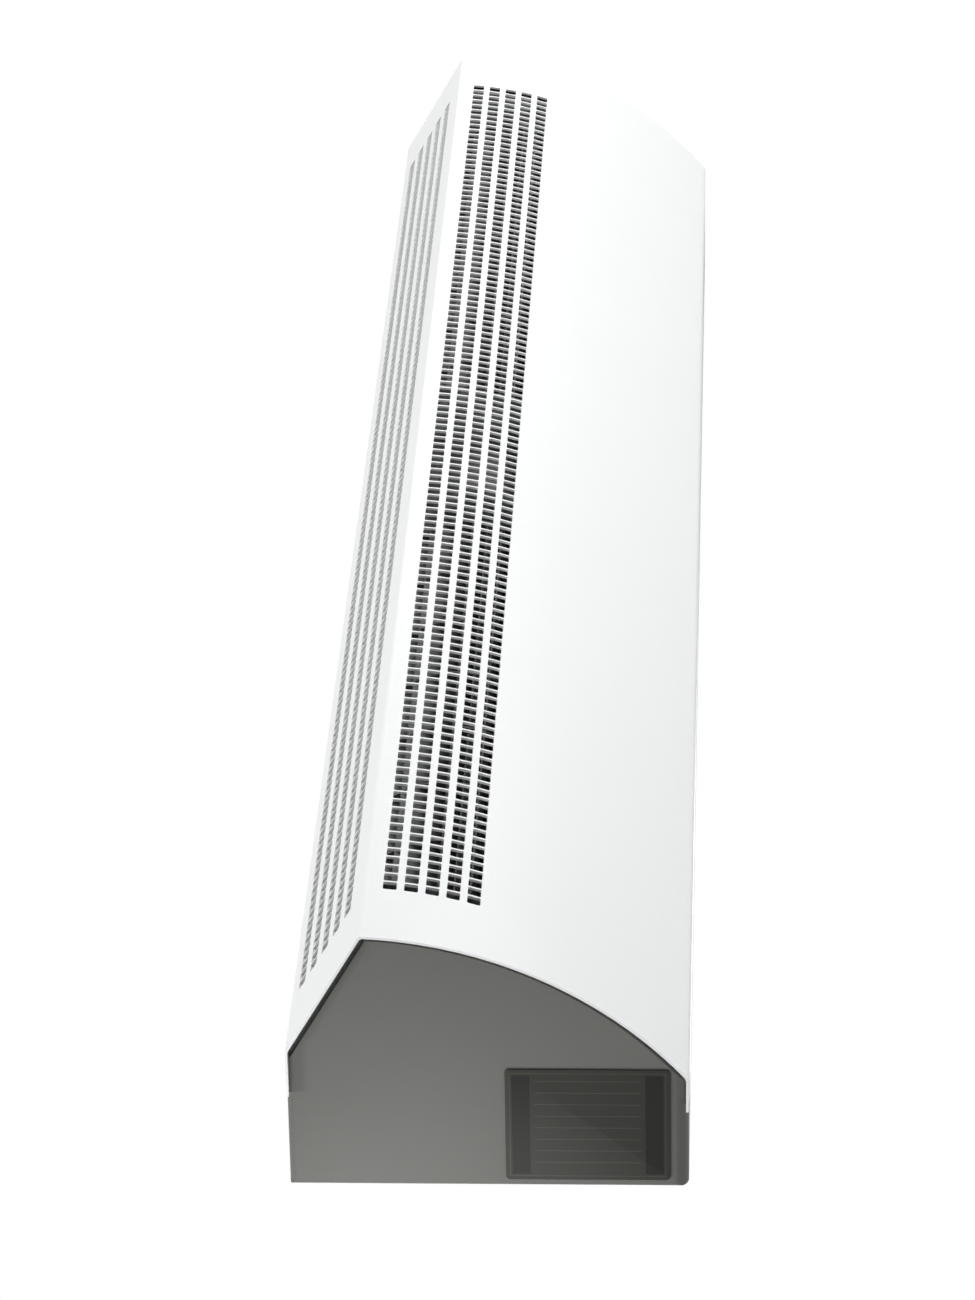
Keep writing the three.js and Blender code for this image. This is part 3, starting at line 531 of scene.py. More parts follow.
plateLow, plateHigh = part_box("rating_plate")
finishes = {
    "white_paint": whitePowderCoat(),
    "grey_plastic": satinGreyPlastic(),
    "plate_foil": printedFoil(plateLow, plateHigh),
    "galvanised_sheet": galvanisedSheet(),
    "aluminium": satinAluminium("satin_aluminium", (0.52, 0.53, 0.54, 1), (0.68, 0.69, 0.70, 1), 0.26),
    # painted shade: a darkened copy of the satin aluminium, so the wheel seen through the holes reads as the
    # shade inside the casing
    "wheel_aluminium": satinAluminium("wheel_aluminium", (0.13, 0.13, 0.128, 1), (0.21, 0.21, 0.205, 1), 0.4),
    "screw_steel": zincSteel("zinc_steel", (0.50, 0.50, 0.51, 1), (0.36, 0.36, 0.375, 1), 0.24),
    # painted shade: a darkened copy of the zinc steel, so the motor seen through the holes reads as the shade
    # inside the casing
    "motor_steel": zincSteel("motor_steel", (0.15, 0.15, 0.155, 1), (0.09, 0.09, 0.095, 1), 0.4),
    "heater_steel": heaterSteel(),
    "rubber": mattRubber(),
    "bronze": sinteredBronze(),
    "copper": enamelledCopper(),
    "pale_insulator": mouldedPlastic("pale_insulator", (0.70, 0.67, 0.58, 1), (0.64, 0.61, 0.52, 1), 0.42),
    "cable_sheath": mouldedPlastic("cable_sheath", grey(0.018), grey(0.028), 0.5, 900),
    "black_plastic": mouldedPlastic("black_plastic", grey(0.016), grey(0.022), 0.3),
    "red_plastic": mouldedPlastic("red_plastic", (0.46, 0.028, 0.026, 1), (0.40, 0.022, 0.022, 1), 0.28),
}
print("finishes made:", len(finishes))

slotOf = {part["node"]: part["material_slot"] for part in frame["record"]["subparts"]}
bodyOf = {node: body for body, nodes in frame["record"]["behaviour"]["bodies"].items() for node in nodes}


def finished(piece, node, finish=None, smooth=35):
    # gives a piece its finish, shading, body and the CAD node that it stands for
    takeUp(piece)
    bpy.ops.object.shade_smooth_by_angle(angle=math.radians(smooth))
    slot = slotOf[node]
    piece.data.materials.clear()
    piece.data.materials.append(finishes[finish or slot])
    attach(piece, bodyOf[node])
    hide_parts(node)


# the section of the casing
casing = {
    "topDepth": 74 * mm, "peakDepth": 135 * mm, "peakHeight": 57 * mm, "lowerDepth": 61 * mm,
    "frontRadius": 206 * mm, "sheet": 1.2 * mm, "gap": 0.3 * mm, "topSeam": 50 * mm, "lowerSeam": 43 * mm,
    "lip": 12 * mm,
}
top = cadHigh.z
halfLength = cadHigh.x
sheet = casing["sheet"]
gap = casing["gap"]
step = sheet + gap
topEdge = -casing["topSeam"] - gap / 2
lowerSeamEdge = -casing["lowerSeam"] - gap / 2
upperCrease = Vector((-casing["topDepth"], top))
frontCrease = Vector((-casing["peakDepth"], casing["peakHeight"]))
lowerEdge = Vector((-casing["lowerDepth"], -top))
chord = lowerEdge - frontCrease
reach = math.sqrt(casing["frontRadius"] ** 2 - (chord.length / 2) ** 2)
arcCentre = (frontCrease + lowerEdge) / 2 + Vector((-chord.y, chord.x)).normalized() * reach
arcDegrees = math.degrees(2 * math.asin(chord.length / 2 / casing["frontRadius"]))


def left(direction):
    return Vector((-direction.y, direction.x)).normalized()


def corner(point, before, after, distance):
    # a corner of the section moved inwards by a distance from both of its sides
    mitre = (left(before) + left(after)).normalized()
    return point + mitre * distance / mitre.dot(left(before))


def insideSection(distance):
    # the three corners of the cover moved inwards
    strip = frontCrease - upperCrease
    upper = corner(upperCrease, Vector((-1, 0)), strip, distance)
    front = corner(frontCrease, strip, left(frontCrease - arcCentre), distance)
    lower = corner(lowerEdge, left(lowerEdge - arcCentre), Vector((1, 0)), distance)
    return upper, front, lower


def angleFrom(first, second):
    one = first - arcCentre
    two = second - arcCentre
    return (math.degrees(math.atan2(two.y, two.x) - math.atan2(one.y, one.x))) % 360


# casing

def makeFrontCover():
    # one slice of the cover with its ten holes, arrayed along the unit, then the plain ends
    shape = {
        "columns": 126, "rowLength": 1010 * mm, "holeAlong": 6.8 * mm, "holeAcross": 6.4 * mm,
        "holeCorner": 0.75 * mm, "rows": 5, "stripStart": 10.3 * mm, "stripPitch": 11 * mm,
        "frontStart": 11.7 * mm, "frontPitch": 9.85 * mm, "bend": 1.6 * mm, "plainSteps": 22,
    }
    pitch = shape["rowLength"] / shape["columns"]
    margin = (pitch - shape["holeAlong"]) / 2
    band = shape["holeAcross"] + 2 * margin
    first = -shape["rowLength"] / 2
    piece = startPoint("front_cover_shell", (first, topEdge, top))
    pushOut(x=pitch)
    pick("edges", lambda edge: True)
    here = drawTo((topEdge, top), upperCrease)
    strip = (frontCrease - upperCrease).normalized()
    for row in range(shape["rows"]):
        low = shape["stripStart"] + row * shape["stripPitch"] - band / 2
        here = drawTo(here, upperCrease + strip * low)
        here = drawTo(here, upperCrease + strip * (low + band))
    drawTo(here, frontCrease)
    degrees = math.degrees(1 / casing["frontRadius"])
    done = 0
    for row in range(shape["rows"]):
        low = shape["frontStart"] + row * shape["frontPitch"] - band / 2
        swingTo((low - done) * degrees, 1)
        swingTo(band * degrees, 1)
        done = low + band
    swingTo(arcDegrees - done * degrees, shape["plainSteps"])
    drawTo(lowerEdge, (lowerSeamEdge, -top))
    pickAll()
    bpy.ops.mesh.remove_doubles(threshold=0.01 * mm)
    pick("edges", edgeAt(upperCrease, frontCrease, lowerEdge))
    bevelEdges(shape["bend"], 4)
    pick("faces", lambda face: near(face.calc_area(), pitch * band, 0.3 * mm * mm))
    bpy.ops.mesh.inset(thickness=margin, use_individual=True)
    bpy.ops.mesh.bevel(offset=shape["holeCorner"], segments=2, affect="VERTICES")
    pick("faces", lambda face: len(face.verts) > 8)
    bpy.ops.mesh.delete(type="FACE")
    repeat(piece, shape["columns"], pitch, use_merge_vertices=True, merge_threshold=0.02 * mm)
    reopen(piece)
    for end in (-1, 1):
        rim = end * shape["rowLength"] / 2
        pick("edges", lambda edge: all(near(point.co.x, rim) for point in edge.verts))
        pushOut(x=end * halfLength - rim)
    facesOut(lambda face: middle(face).z > top - 0.01 * mm)
    modify(piece, "SOLIDIFY", thickness=sheet, offset=-1, use_even_offset=True)
    drillScrewHoles(piece)
    finished(piece, "front_cover", smooth=25)


screwSize = {
    "head": 3.4 * mm, "shank": 1.8 * mm, "clearance": 0.4 * mm, "headDepth": 1.3 * mm, "slot": 0.9 * mm,
    "recess": 0.9 * mm, "cross": 3.6 * mm, "crown": 0.3 * mm, "crownDepth": 0.25 * mm, "tip": 0.9 * mm,
    "taper": 0.8 * mm,
}


def drillScrewHoles(piece):
    past = 4 * mm
    radius = screwSize["head"] + screwSize["clearance"]
    tools = []
    for node in slotOf:
        if node.startswith("cover_screw"):
            centre = middleOf(node)
            outer = top if centre.z > 0 else -top
            tools.append(startRod("drill", "z", radius, outer - past, outer + past, centre, 40))
    carve(piece, "DIFFERENCE", fuse("drills", *tools))


def makeBackTray():
    shape = {
        "bend": 0.75 * mm, "wallHole": 2.75 * mm, "holes": ((-512, 68), (512, 68), (-512, -68), (512, -68)),
        "grommetHole": 8.3 * mm, "drill": 6 * mm,
    }
    low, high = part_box("back_tray")
    seam = -casing["topSeam"]
    line = [
        (0, -top), (0, top), (seam + step + gap, top), (seam + gap, top - step),
        (seam - casing["lip"], top - step),
    ]
    piece = makeSheet("back_tray_sheet", line, low.x, high.x, shape["bend"])
    through = (-shape["drill"], shape["drill"])
    tools = []
    for x, z in shape["holes"]:
        tools.append(startRod("drill", "y", shape["wallHole"], *through, (x * mm, 0, z * mm), 40))
    tools.append(startRod("drill", "y", shape["grommetHole"], *through, middleOf("cable_grommet"), 48))
    radius = screwSize["shank"] + screwSize["clearance"]
    for node in slotOf:
        if node.startswith("cover_screw_top"):
            tools.append(startRod("drill", "z", radius, top - shape["drill"], top - 1 * mm, middleOf(node)))
    carve(piece, "DIFFERENCE", fuse("drills", *tools))
    finished(piece, "back_tray", smooth=30)


capShape = {
    "depth": 14 * mm, "wall": 3 * mm, "topRound": 4 * mm, "lowerRound": 8 * mm, "backRound": 3 * mm,
    "edge": 3 * mm, "edgeFrom": -52 * mm, "arcSteps": 40,
    "lug": {"from": 55 * mm, "to": 80 * mm, "depth": 6 * mm, "edge": 0.5 * mm},
    "switchSlot": (10 * mm, 10 * mm, 13.8 * mm), "buttonHole": 3.9 * mm,
}


def drawCapOutline(name, x):
    # the section of a cap, with the steps where the cover's two flanges lie over it
    upper, front, lower = insideSection(step)
    seam = -casing["topSeam"] + gap / 2
    under = -casing["lowerSeam"] + gap / 2
    piece = startPoint(name, (x, 0, top))
    here = (0, top)
    for there in ((seam, top), (seam, top - step), upper, front):
        here = drawTo(here, there)
    swingTo(angleFrom(front, lower), capShape["arcSteps"])
    here = lower
    for there in ((under, -top + step), (under, -top), (0, -top), (0, top)):
        here = drawTo(here, there)
    closeOutline()
    return piece


def drawHollow(name, x, depth):
    # the space inside a cap
    inward = step + capShape["wall"]
    upper, front, lower = insideSection(inward)
    piece = startPoint(name, (x, -inward, top - inward))
    here = (-inward, top - inward)
    for there in (upper, front):
        here = drawTo(here, there)
    swingTo(angleFrom(front, lower), capShape["arcSteps"])
    here = lower
    for there in ((-inward, -top + inward), (-inward, top - inward)):
        here = drawTo(here, there)
    closeOutline()
    pushOut(x=depth)
    facesOut()
    return piece


def makeEndCap(side):
    name = "end_cap_right" if side > 0 else "end_cap_left"
    low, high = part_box(name)
    face, inner = (high.x, low.x) if side > 0 else (low.x, high.x)
    back = face - side * capShape["depth"]
    piece = drawCapOutline(name + "_shell", back)
    pushOut(x=side * capShape["depth"])
    facesOut()

    def pickOnFace(test):
        pick("edges", lambda edge: all(near(end.co.x, face) and test(end.co) for end in edge.verts))

    # a step runs round the face inside the cover's lip, along the slanted and the curved side
    pickOnFace(lambda place: place.y < capShape["edgeFrom"])
    bevelEdges(capShape["edge"], 2, profile=0)
    # two long boxes with rounded edges on the outer side take the corners off
    ends = sorted((back - side * 2 * mm, face))
    past = 20 * mm
    deep = 200 * mm
    upright = startBox("upright", (ends[0], -deep, -top), (ends[1], past, top))
    for radius, height in ((capShape["topRound"], top), (capShape["lowerRound"], -top)):
        pickOnFace(lambda place: near(place.z, height))
        bevelEdges(radius, 8)
    level = startBox("level", (ends[0], -deep, -top - past), (ends[1], 0, top + past))
    pickOnFace(lambda place: near(place.y, 0))
    bevelEdges(capShape["backRound"], 8)
    carve(piece, "INTERSECT", upright, level)
    hollowDepth = capShape["depth"] - capShape["wall"] + 1 * mm
    carve(piece, "DIFFERENCE", drawHollow("hollow", back - side * 1 * mm, side * hollowDepth))
    lug = capShape["lug"]
    across = sorted((inner, face - side * (capShape["wall"] - 1 * mm)))
    for end in (-1, 1):
        heights = sorted((end * lug["from"], end * lug["to"]))
        tab = startBox("lug", (across[0], -lug["depth"], heights[0]), (across[1], -step, heights[1]))
        soften(tab, lug["edge"])
        carve(piece, "UNION", tab)
    if side > 0:
        half = Vector(capShape["switchSlot"])
        for node in ("fan_switch_body", "heat_switch_body"):
            centre = middleOf(node)
            centre.x = face
            carve(piece, "DIFFERENCE", startBox("opening", centre - half, centre + half))
        bored = (face - 8 * mm, face + 2 * mm)
        bore = startRod("bore", "x", capShape["buttonHole"], *bored, middleOf("reset_button"), 48)
        carve(piece, "DIFFERENCE", bore)
    finished(piece, name, smooth=28)


def makeRatingPlate():
    shape = {"corner": 2 * mm, "edge": 0.12 * mm}
    piece = startBox("rating_plate_foil", plateLow, plateHigh)
    pick("edges", lambda edge: abs(edge.verts[0].co.x - edge.verts[1].co.x) > 0.3 * mm)
    bevelEdges(shape["corner"], 6)
    soften(piece, shape["edge"])
    finished(piece, "rating_plate")


def makeCoverScrews():
    # a flush head with a cross recess, turned and cut once, then copied
    size = screwSize
    low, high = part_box("cover_screw_top_1")
    place = (low + high) / 2
    under = high.z - size["headDepth"]
    profile = [
        (high.z, 0), (high.z, size["head"] - size["crown"]), (high.z - size["crownDepth"], size["head"]),
        (under, size["head"]), (under, size["shank"]), (low.z + size["taper"], size["shank"]),
        (low.z, size["tip"]), (low.z, 0),
    ]
    first = makeTurned("screw", "z", place, profile, 32)
    for wide, tall in ((size["cross"] / 2, size["slot"] / 2), (size["slot"] / 2, size["cross"] / 2)):
        across = Vector((wide, tall, 0))
        bottom = Vector((place.x, place.y, high.z - size["recess"])) - across
        ceiling = Vector((place.x, place.y, high.z + 1 * mm)) + across
        carve(first, "DIFFERENCE", startBox("cross", bottom, ceiling))
    for node in [name for name in slotOf if name.startswith("cover_screw")]:
        nodePlace = middleOf(node)
        piece = copyOf(first, node + "_crosshead")
        if nodePlace.z < 0:
            reopen(piece)
            pickAll()
            bpy.ops.transform.resize(value=(1, 1, -1), center_override=place)
            facesOut()
            letGo()
        piece.data.transform(Matrix.Translation(nodePlace - place))
        finished(piece, node)
    bpy.data.objects.remove(first)


# air path

fanAxis = Vector((0, -72 * mm, 26 * mm))


def makeScroll():
    # a spiral round the wheel, then the back wall of the duct
    shape = {
        "edge": -47.2 * mm, "top": 77 * mm, "wheel": 45 * mm, "clearance": 5 * mm, "growth": 6 * mm,
        "start": 115, "swing": 65, "steps": 24, "ductTop": -30 * mm, "ductFoot": -7.5 * mm,
    }
    low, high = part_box("scroll")
    line = [(shape["edge"], high.z), (shape["edge"], shape["top"])]
    for index in range(shape["steps"] + 1):
        share = index / shape["steps"]
        angle = math.radians(shape["start"] + shape["swing"] * share)
        radius = shape["wheel"] + shape["clearance"] + shape["growth"] * share
        line.append((fanAxis.y - radius * math.cos(angle), fanAxis.z + radius * math.sin(angle)))
    line += [(line[-1][0], shape["ductTop"]), (shape["ductFoot"], low.z)]
    piece = makeSheet("scroll_sheet", line, low.x, high.x)
    finished(piece, "scroll", smooth=20)


def makeTongue():
    shape = {
        "mouth": -37.5 * mm, "foot": -79 * mm, "nose": ((-108, -13), (-111, -8), (-120.4, -3.5)),
        "bend": 0.6 * mm,
    }
    low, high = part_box("vortex_tongue")
    seam = -casing["lowerSeam"]
    line = [
        (seam - casing["lip"], -top + step), (seam + gap, -top + step), (seam + step + gap, -top),
        (shape["mouth"], -top), (shape["mouth"], shape["foot"]),
    ]
    line += [(y * mm, z * mm) for y, z in shape["nose"]]
    piece = makeSheet("vortex_tongue_sheet", line, low.x, high.x, shape["bend"])
    finished(piece, "vortex_tongue", smooth=30)


def makeOutletRail():
    shape = {"foot": 5.5 * mm, "edge": 0.35 * mm}
    low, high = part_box("outlet_rail")
    foot = -top + shape["foot"]
    outline = [
        (low.y, -top), (high.y, -top), (high.y, foot), (low.y + sheet, foot),
        (low.y + sheet, high.z), (low.y, high.z),
    ]
    piece = makeBar("outlet_rail_profile", outline, low.x, high.x)
    soften(piece, shape["edge"])
    finished(piece, "outlet_rail")


def makeOutletEnd(name):
    edge = 0.5 * mm
    piece = startBox(name + "_block", *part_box(name))
    soften(piece, edge, 3)
    finished(piece, name)


def makeVane():
    # an extruded blade: a round spine that flows into two thin wings with rounded tips
    shape = {
        "half": 11 * mm, "wing": 1 * mm, "spine": 4 * mm, "fillet": 3.6 * mm, "steps": 26,
        "window": {"x": 4 * mm, "y": 5 * mm, "from": 4.3 * mm, "to": 14 * mm},
        "bore": {"radius": 2.8 * mm, "from": 474 * mm, "to": 495 * mm},
    }
    low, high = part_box("deflector_vane")
    middleY = (low.y + high.y) / 2
    middleZ = (low.z + high.z) / 2

    def thick(z):
        body = shape["wing"] + (shape["spine"] - shape["wing"]) / (1 + (z / shape["fillet"]) ** 4)
        tip = shape["half"] - abs(z)
        return min(body, math.sqrt(max(0, shape["wing"] ** 2 - max(0, shape["wing"] - tip) ** 2)))

    steps = shape["steps"]
    heights = [-shape["half"] * math.cos(math.pi * index / steps) for index in range(steps + 1)]
    front = [(middleY - thick(z), middleZ + z) for z in heights]
    back = [(middleY + thick(z), middleZ + z) for z in heights[1:-1]]
    piece = makeBar("deflector_vane_blade", front + back[::-1], low.x, high.x)
    window = shape["window"]
    bore = shape["bore"]
    for end in (-1, 1):
        bottom, ceiling = sorted((middleZ + end * window["from"], middleZ + end * window["to"]))
        slotLow = (-window["x"], middleY - window["y"], bottom)
        slotHigh = (window["x"], middleY + window["y"], ceiling)
        carve(piece, "DIFFERENCE", startBox("window", slotLow, slotHigh))
        ends = sorted((end * bore["from"], end * bore["to"]))
        carve(piece, "DIFFERENCE", startRod("bore", "x", bore["radius"], *ends, (0, middleY, middleZ)))
    finished(piece, "deflector_vane", smooth=40)


def makeVanePin(name):
    low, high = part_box(name)
    centre = (low + high) / 2
    radius = (high.y - low.y) / 2
    chamfer = 0.5 * mm
    profile = [
        (low.x, 0), (low.x, radius - chamfer), (low.x + chamfer, radius),
        (high.x - chamfer, radius), (high.x, radius - chamfer), (high.x, 0),
    ]
    finished(makeTurned(name + "_turned", "x", centre, profile, 32), name)


# fan

def makeWheel(side):
    # a crossflow wheel: one blade drawn, copied round, and rings every so far along
    shape = {
        "blades": 36, "outer": 45 * mm, "inner": 34 * mm, "tipGap": 0.6 * mm, "lean": -7 * mm, "curve": 1.7,
        "innerLean": 0.3 * mm, "bladeSteps": 5, "blade": 0.9 * mm, "bladeEnd": 1 * mm,
        "rings": 6, "ring": 1.1 * mm, "ringInner": 32.5 * mm, "disc": 2.4 * mm, "sides": 96,
        "hubBore": 13.3 * mm, "stubBore": 7.3 * mm,
    }
    name = "impeller_right" if side > 0 else "impeller_left"
    low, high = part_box(name)
    tip = shape["outer"] - shape["tipGap"]
    line = []
    for index in range(shape["bladeSteps"] + 1):
        share = index / shape["bladeSteps"]
        radius = tip + (shape["inner"] - tip) * share
        lean = shape["lean"] * (1 - share) ** shape["curve"] + shape["innerLean"] * share
        line.append(fanAxis.yz + Vector((radius, lean)))
    blades = startPoint(name + "_wheel", (low.x + shape["bladeEnd"], *line[0]))
    here = line[0]
    for there in line[1:]:
        here = drawTo(here, there)
    pickAll()
    pushOut(x=high.x - low.x - 2 * shape["bladeEnd"])
    facesOut()
    modify(blades, "SOLIDIFY", thickness=shape["blade"], offset=0)
    reopen(blades)
    pickAll()
    others = shape["blades"] - 1
    turn = 2 * math.pi * others / shape["blades"]
    bpy.ops.mesh.spin(steps=others, angle=turn, dupli=True, center=fanAxis, axis=(1, 0, 0))

    def disc(x, thickness, bore):
        profile = [
            (x - thickness / 2, bore), (x - thickness / 2, shape["outer"]),
            (x + thickness / 2, shape["outer"]), (x + thickness / 2, bore),
        ]
        return makeTurned("disc", "x", fanAxis, profile, shape["sides"])

    pitch = (high.x - low.x - shape["disc"]) / (shape["rings"] + 1)
    ring = disc(low.x + shape["disc"] / 2 + pitch, shape["ring"], shape["ringInner"])
    repeat(ring, shape["rings"], pitch)
    bores = (shape["hubBore"], shape["stubBore"]) if side > 0 else (shape["stubBore"], shape["hubBore"])
    lowDisc = disc(low.x + shape["disc"] / 2, shape["disc"], bores[0])
    highDisc = disc(high.x - shape["disc"] / 2, shape["disc"], bores[1])
    wheel = fuse(name + "_wheel", blades, ring, lowDisc, highDisc)
    # the wheel takes the darkened aluminium, painted shade for the inside of the casing
    finished(wheel, name, finish="wheel_aluminium", smooth=30)


def profileOf(rows, side=1):
    # rows of (along, radius) in mm, with side -1 mirrored to the left
    return [(side * along * mm, radius * mm) for along, radius in rows]


def makeMotor():
    # half of the shell, its outside and then its inside
    shape = {
        "outside": (
            (1.2, 38), (2, 37.2), (2.8, 38), (24, 38), (29, 36.4), (32, 32.5), (33, 29), (33, 16),
            (34.5, 12.5), (36, 11), (44.5, 11), (45, 10.5), (45, 4.4),
        ),
        "inside": ((43, 4.4), (43, 8.3), (30, 8.3), (30, 26), (24, 35)),
    }
    half = shape["outside"] + shape["inside"]
    profile = profileOf(half) + profileOf(half, -1)[::-1]
    piece = makeTurned("motor_housing_shell", "x", fanAxis, profile, 64)
    # the housing takes the darkened steel, painted shade for the inside of the casing
    finished(piece, "motor_housing", finish="motor_steel", smooth=40)


def makeTurnedPieces():
    # the small round pieces of the shaft line, both sides from one profile
    shape = {
        "hub": ((70, 4.3), (70, 16), (71, 17), (74.7, 17), (74.7, 13), (85.5, 13), (86, 12.5), (86, 4.3)),
        "stub_shaft": (
            (478.3, 0), (478.3, 6.5), (478.8, 7), (485.3, 7), (485.3, 12), (487.3, 12), (487.3, 4),
            (511.5, 4), (512, 3.5), (512, 0),
        ),
        "bearing_cushion": (
            (490, 9.3), (490, 17), (491, 18), (496.1, 18), (496.1, 14), (497.9, 14), (497.9, 18),
            (503, 18), (504, 17), (504, 9.3),
        ),
        "bearing": ((492, 4.4), (492, 8.6), (492.4, 9), (501.6, 9), (502, 8.6), (502, 4.4)),
        "motor_bearing": ((31, 4.4), (31, 7.6), (31.4, 8), (42.2, 8), (42.6, 7.6), (42.6, 4.4)),
        "motor_ring": ((35, 11.3), (35, 14.2), (35.8, 15), (42.2, 15), (43, 14.2), (43, 11.3)),
    }
    for side, word in ((-1, "left"), (1, "right")):
        for stem, rows in shape.items():
            piece = makeTurned(f"{stem}_{word}_turned", "x", fanAxis, profileOf(rows, side))
            finished(piece, f"{stem}_{word}")
    end = ((87.5, 4), (88, 3.5), (88, 0))
    shaft = makeTurned("motor_shaft_turned", "x", fanAxis, profileOf(end, -1)[::-1] + profileOf(end))
    finished(shaft, "motor_shaft")


# heat

def makeHeaters():
    # a tube with a collar and a pin at each end, turned once and copied
    half = (
        (489, 5), (492, 5), (493, 6), (493, 7), (500.5, 7), (501, 6.5), (501, 2), (515.5, 2), (516, 1.5),
        (516, 0),
    )
    first = None
    for node in ("heater_1", "heater_2", "heater_3"):
        place = middleOf(node)
        if first:
            piece = copyOf(first, node + "_tube", place - firstPlace)
        else:
            profile = profileOf(half, -1)[::-1] + profileOf(half)
            piece = makeTurned(node + "_tube", "x", place, profile, 40)
            first, firstPlace = piece, place
        finished(piece, node)


def makeCutout():
    # a can with a bore on its outer side, and the button that stands in the bore
    can = {"back": 0.8 * mm, "rim": 0.5 * mm, "bore": 3.9 * mm, "boreDepth": 7.7 * mm}
    button = {"edge": 0.8 * mm, "crown": 0.25 * mm, "dish": 1.5 * mm, "dishDepth": 0.3 * mm}
    low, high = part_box("thermal_cutout")
    radius = (high.y - low.y) / 2
    floor = high.x - can["boreDepth"]
    profile = [
        (low.x, 0), (low.x, radius - can["back"]), (low.x + can["back"], radius),
        (high.x - can["rim"], radius), (high.x, radius - can["rim"]), (high.x, can["bore"]),
        (floor, can["bore"]), (floor, 0),
    ]
    piece = makeTurned("thermal_cutout_can", "x", (low + high) / 2, profile)
    finished(piece, "thermal_cutout")
    low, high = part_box("reset_button")
    radius = (high.y - low.y) / 2
    shoulder = high.x - button["crown"]
    profile = [
        (low.x, 0), (low.x, radius), (high.x - button["edge"], radius), (shoulder, radius - button["crown"]),
        (high.x, radius - button["edge"]), (shoulder, radius - button["dish"]),
        (high.x - button["dishDepth"], 0),
    ]
    piece = makeTurned("reset_button_cap", "x", (low + high) / 2, profile, 40)
    finished(piece, "reset_button", smooth=50)


def makeCapacitor():
    shape = {"base": 2 * mm, "rim": 1 * mm, "rimInside": 2.2 * mm, "lid": 2.4 * mm, "lidDepth": 1.2 * mm}
    low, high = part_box("run_capacitor")
    radius = (high.x - low.x) / 2
    lid = high.z - shape["lidDepth"]
    profile = [
        (low.z, 0), (low.z, radius - shape["base"]), (low.z + shape["base"], radius),
        (high.z - shape["rim"], radius), (high.z, radius - shape["rim"]),
        (high.z, radius - shape["rimInside"]), (lid, radius - shape["lid"]), (lid, 0),
    ]
    piece = makeTurned("run_capacitor_can", "z", (low + high) / 2, profile)
    finished(piece, "run_capacitor", smooth=40)


def makeGrommet():
    rows = (
        (0.1, 0), (0.1, 7.6), (0.4, 8), (1.5, 8), (1.5, 12), (2.6, 12), (4, 10.8), (4, 6.6), (3.4, 6),
        (2.2, 6), (2.2, 0),
    )
    piece = makeTurned("cable_grommet_moulding", "y", middleOf("cable_grommet"), profileOf(rows, -1))
    finished(piece, "cable_grommet", smooth=40)


# switches

def makeSwitchBody(name):
    # a bezel on the cap, the body behind it and the well that the rocker stands in
    shape = {
        "face": 546 * mm, "corner": 1.6 * mm, "edge": 0.9 * mm, "margin": 1.4 * mm, "rearEdge": 0.5 * mm,
        "wellFloor": 537 * mm, "well": (7.8 * mm, 12.2 * mm),
    }
    low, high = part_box(name)
    centre = (low + high) / 2
    face = shape["face"]
    bezel = startBox(name + "_moulding", (face + gap, low.y, low.z), high)
    pick("edges", lambda edge: abs(edge.verts[0].co.x - edge.verts[1].co.x) > 1 * mm)
    bevelEdges(shape["corner"], 5)
    pick("edges", lambda edge: all(near(end.co.x, high.x) for end in edge.verts))
    bevelEdges(shape["edge"], 3)
    margin = Vector((shape["margin"], shape["margin"]))
    rear = startBox("rear", (low.x, *(low.yz + margin)), (face + 1 * mm, *(high.yz - margin)))
    soften(rear, shape["rearEdge"])
    carve(bezel, "UNION", rear)
    half = Vector(shape["well"])
    well = startBox("well", (shape["wellFloor"], *(centre.yz - half)), (face + 5 * mm, *(centre.yz + half)))
    carve(bezel, "DIFFERENCE", well)
    finished(bezel, name)


rocker = {
    "pivot": 543.5 * mm, "half": 7.4 * mm, "tall": 11 * mm, "face": 4.2 * mm, "waist": 2.7 * mm, "curve": 1.3,
    "steps": 10, "root": 3.5 * mm, "rootHalf": 4 * mm, "edge": 0.45 * mm, "tip": 10, "levelReach": 549 * mm,
    "marks": {"bar": 6.5 * mm, "ring": -6.5 * mm},
}


def surfaceAt(z):
    # how far the hollowed face of a key stands out at a height from its middle
    return rocker["waist"] + (rocker["face"] - rocker["waist"]) * (abs(z) / rocker["tall"]) ** rocker["curve"]


def makeRocker(name, body):
    # drawn level about its pivot, then tipped to where it rests
    centre = middleOf(body)
    pivot = Vector((rocker["pivot"], centre.y, centre.z))
    tall = rocker["tall"]
    outline = [(-rocker["root"], -rocker["rootHalf"]), (0, -tall)]
    for index in range(rocker["steps"] + 1):
        z = -tall + 2 * tall * index / rocker["steps"]
        outline.append((surfaceAt(z), z))
    outline += [(0, tall), (-rocker["root"], rocker["rootHalf"])]
    points = [pivot + Vector((x, -rocker["half"], z)) for x, z in outline]
    piece = startPoint(name + "_key", points[0])
    for here, there in zip(points, points[1:] + points[:1]):
        pushOut(*(there - here))
    closeOutline()
    pushOut(y=2 * rocker["half"])
    facesOut()
    soften(piece, rocker["edge"], 3)
    raised = []
    for number, (kind, z) in enumerate(rocker["marks"].items(), start=1):
        raised.append(makeMark(f"{name}_mark_{number}", kind, pivot, z))
    tip = rocker["tip"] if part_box(name)[1].x > rocker["levelReach"] else 0
    for part in (piece, *raised):
        reopen(part)
        pickAll()
        # with no window this operator turns the other way
        bpy.ops.transform.rotate(value=-math.radians(tip), orient_axis="Y", center_override=pivot)
    finished(piece, name)
    for part in raised:
        finishedMark(part, name)


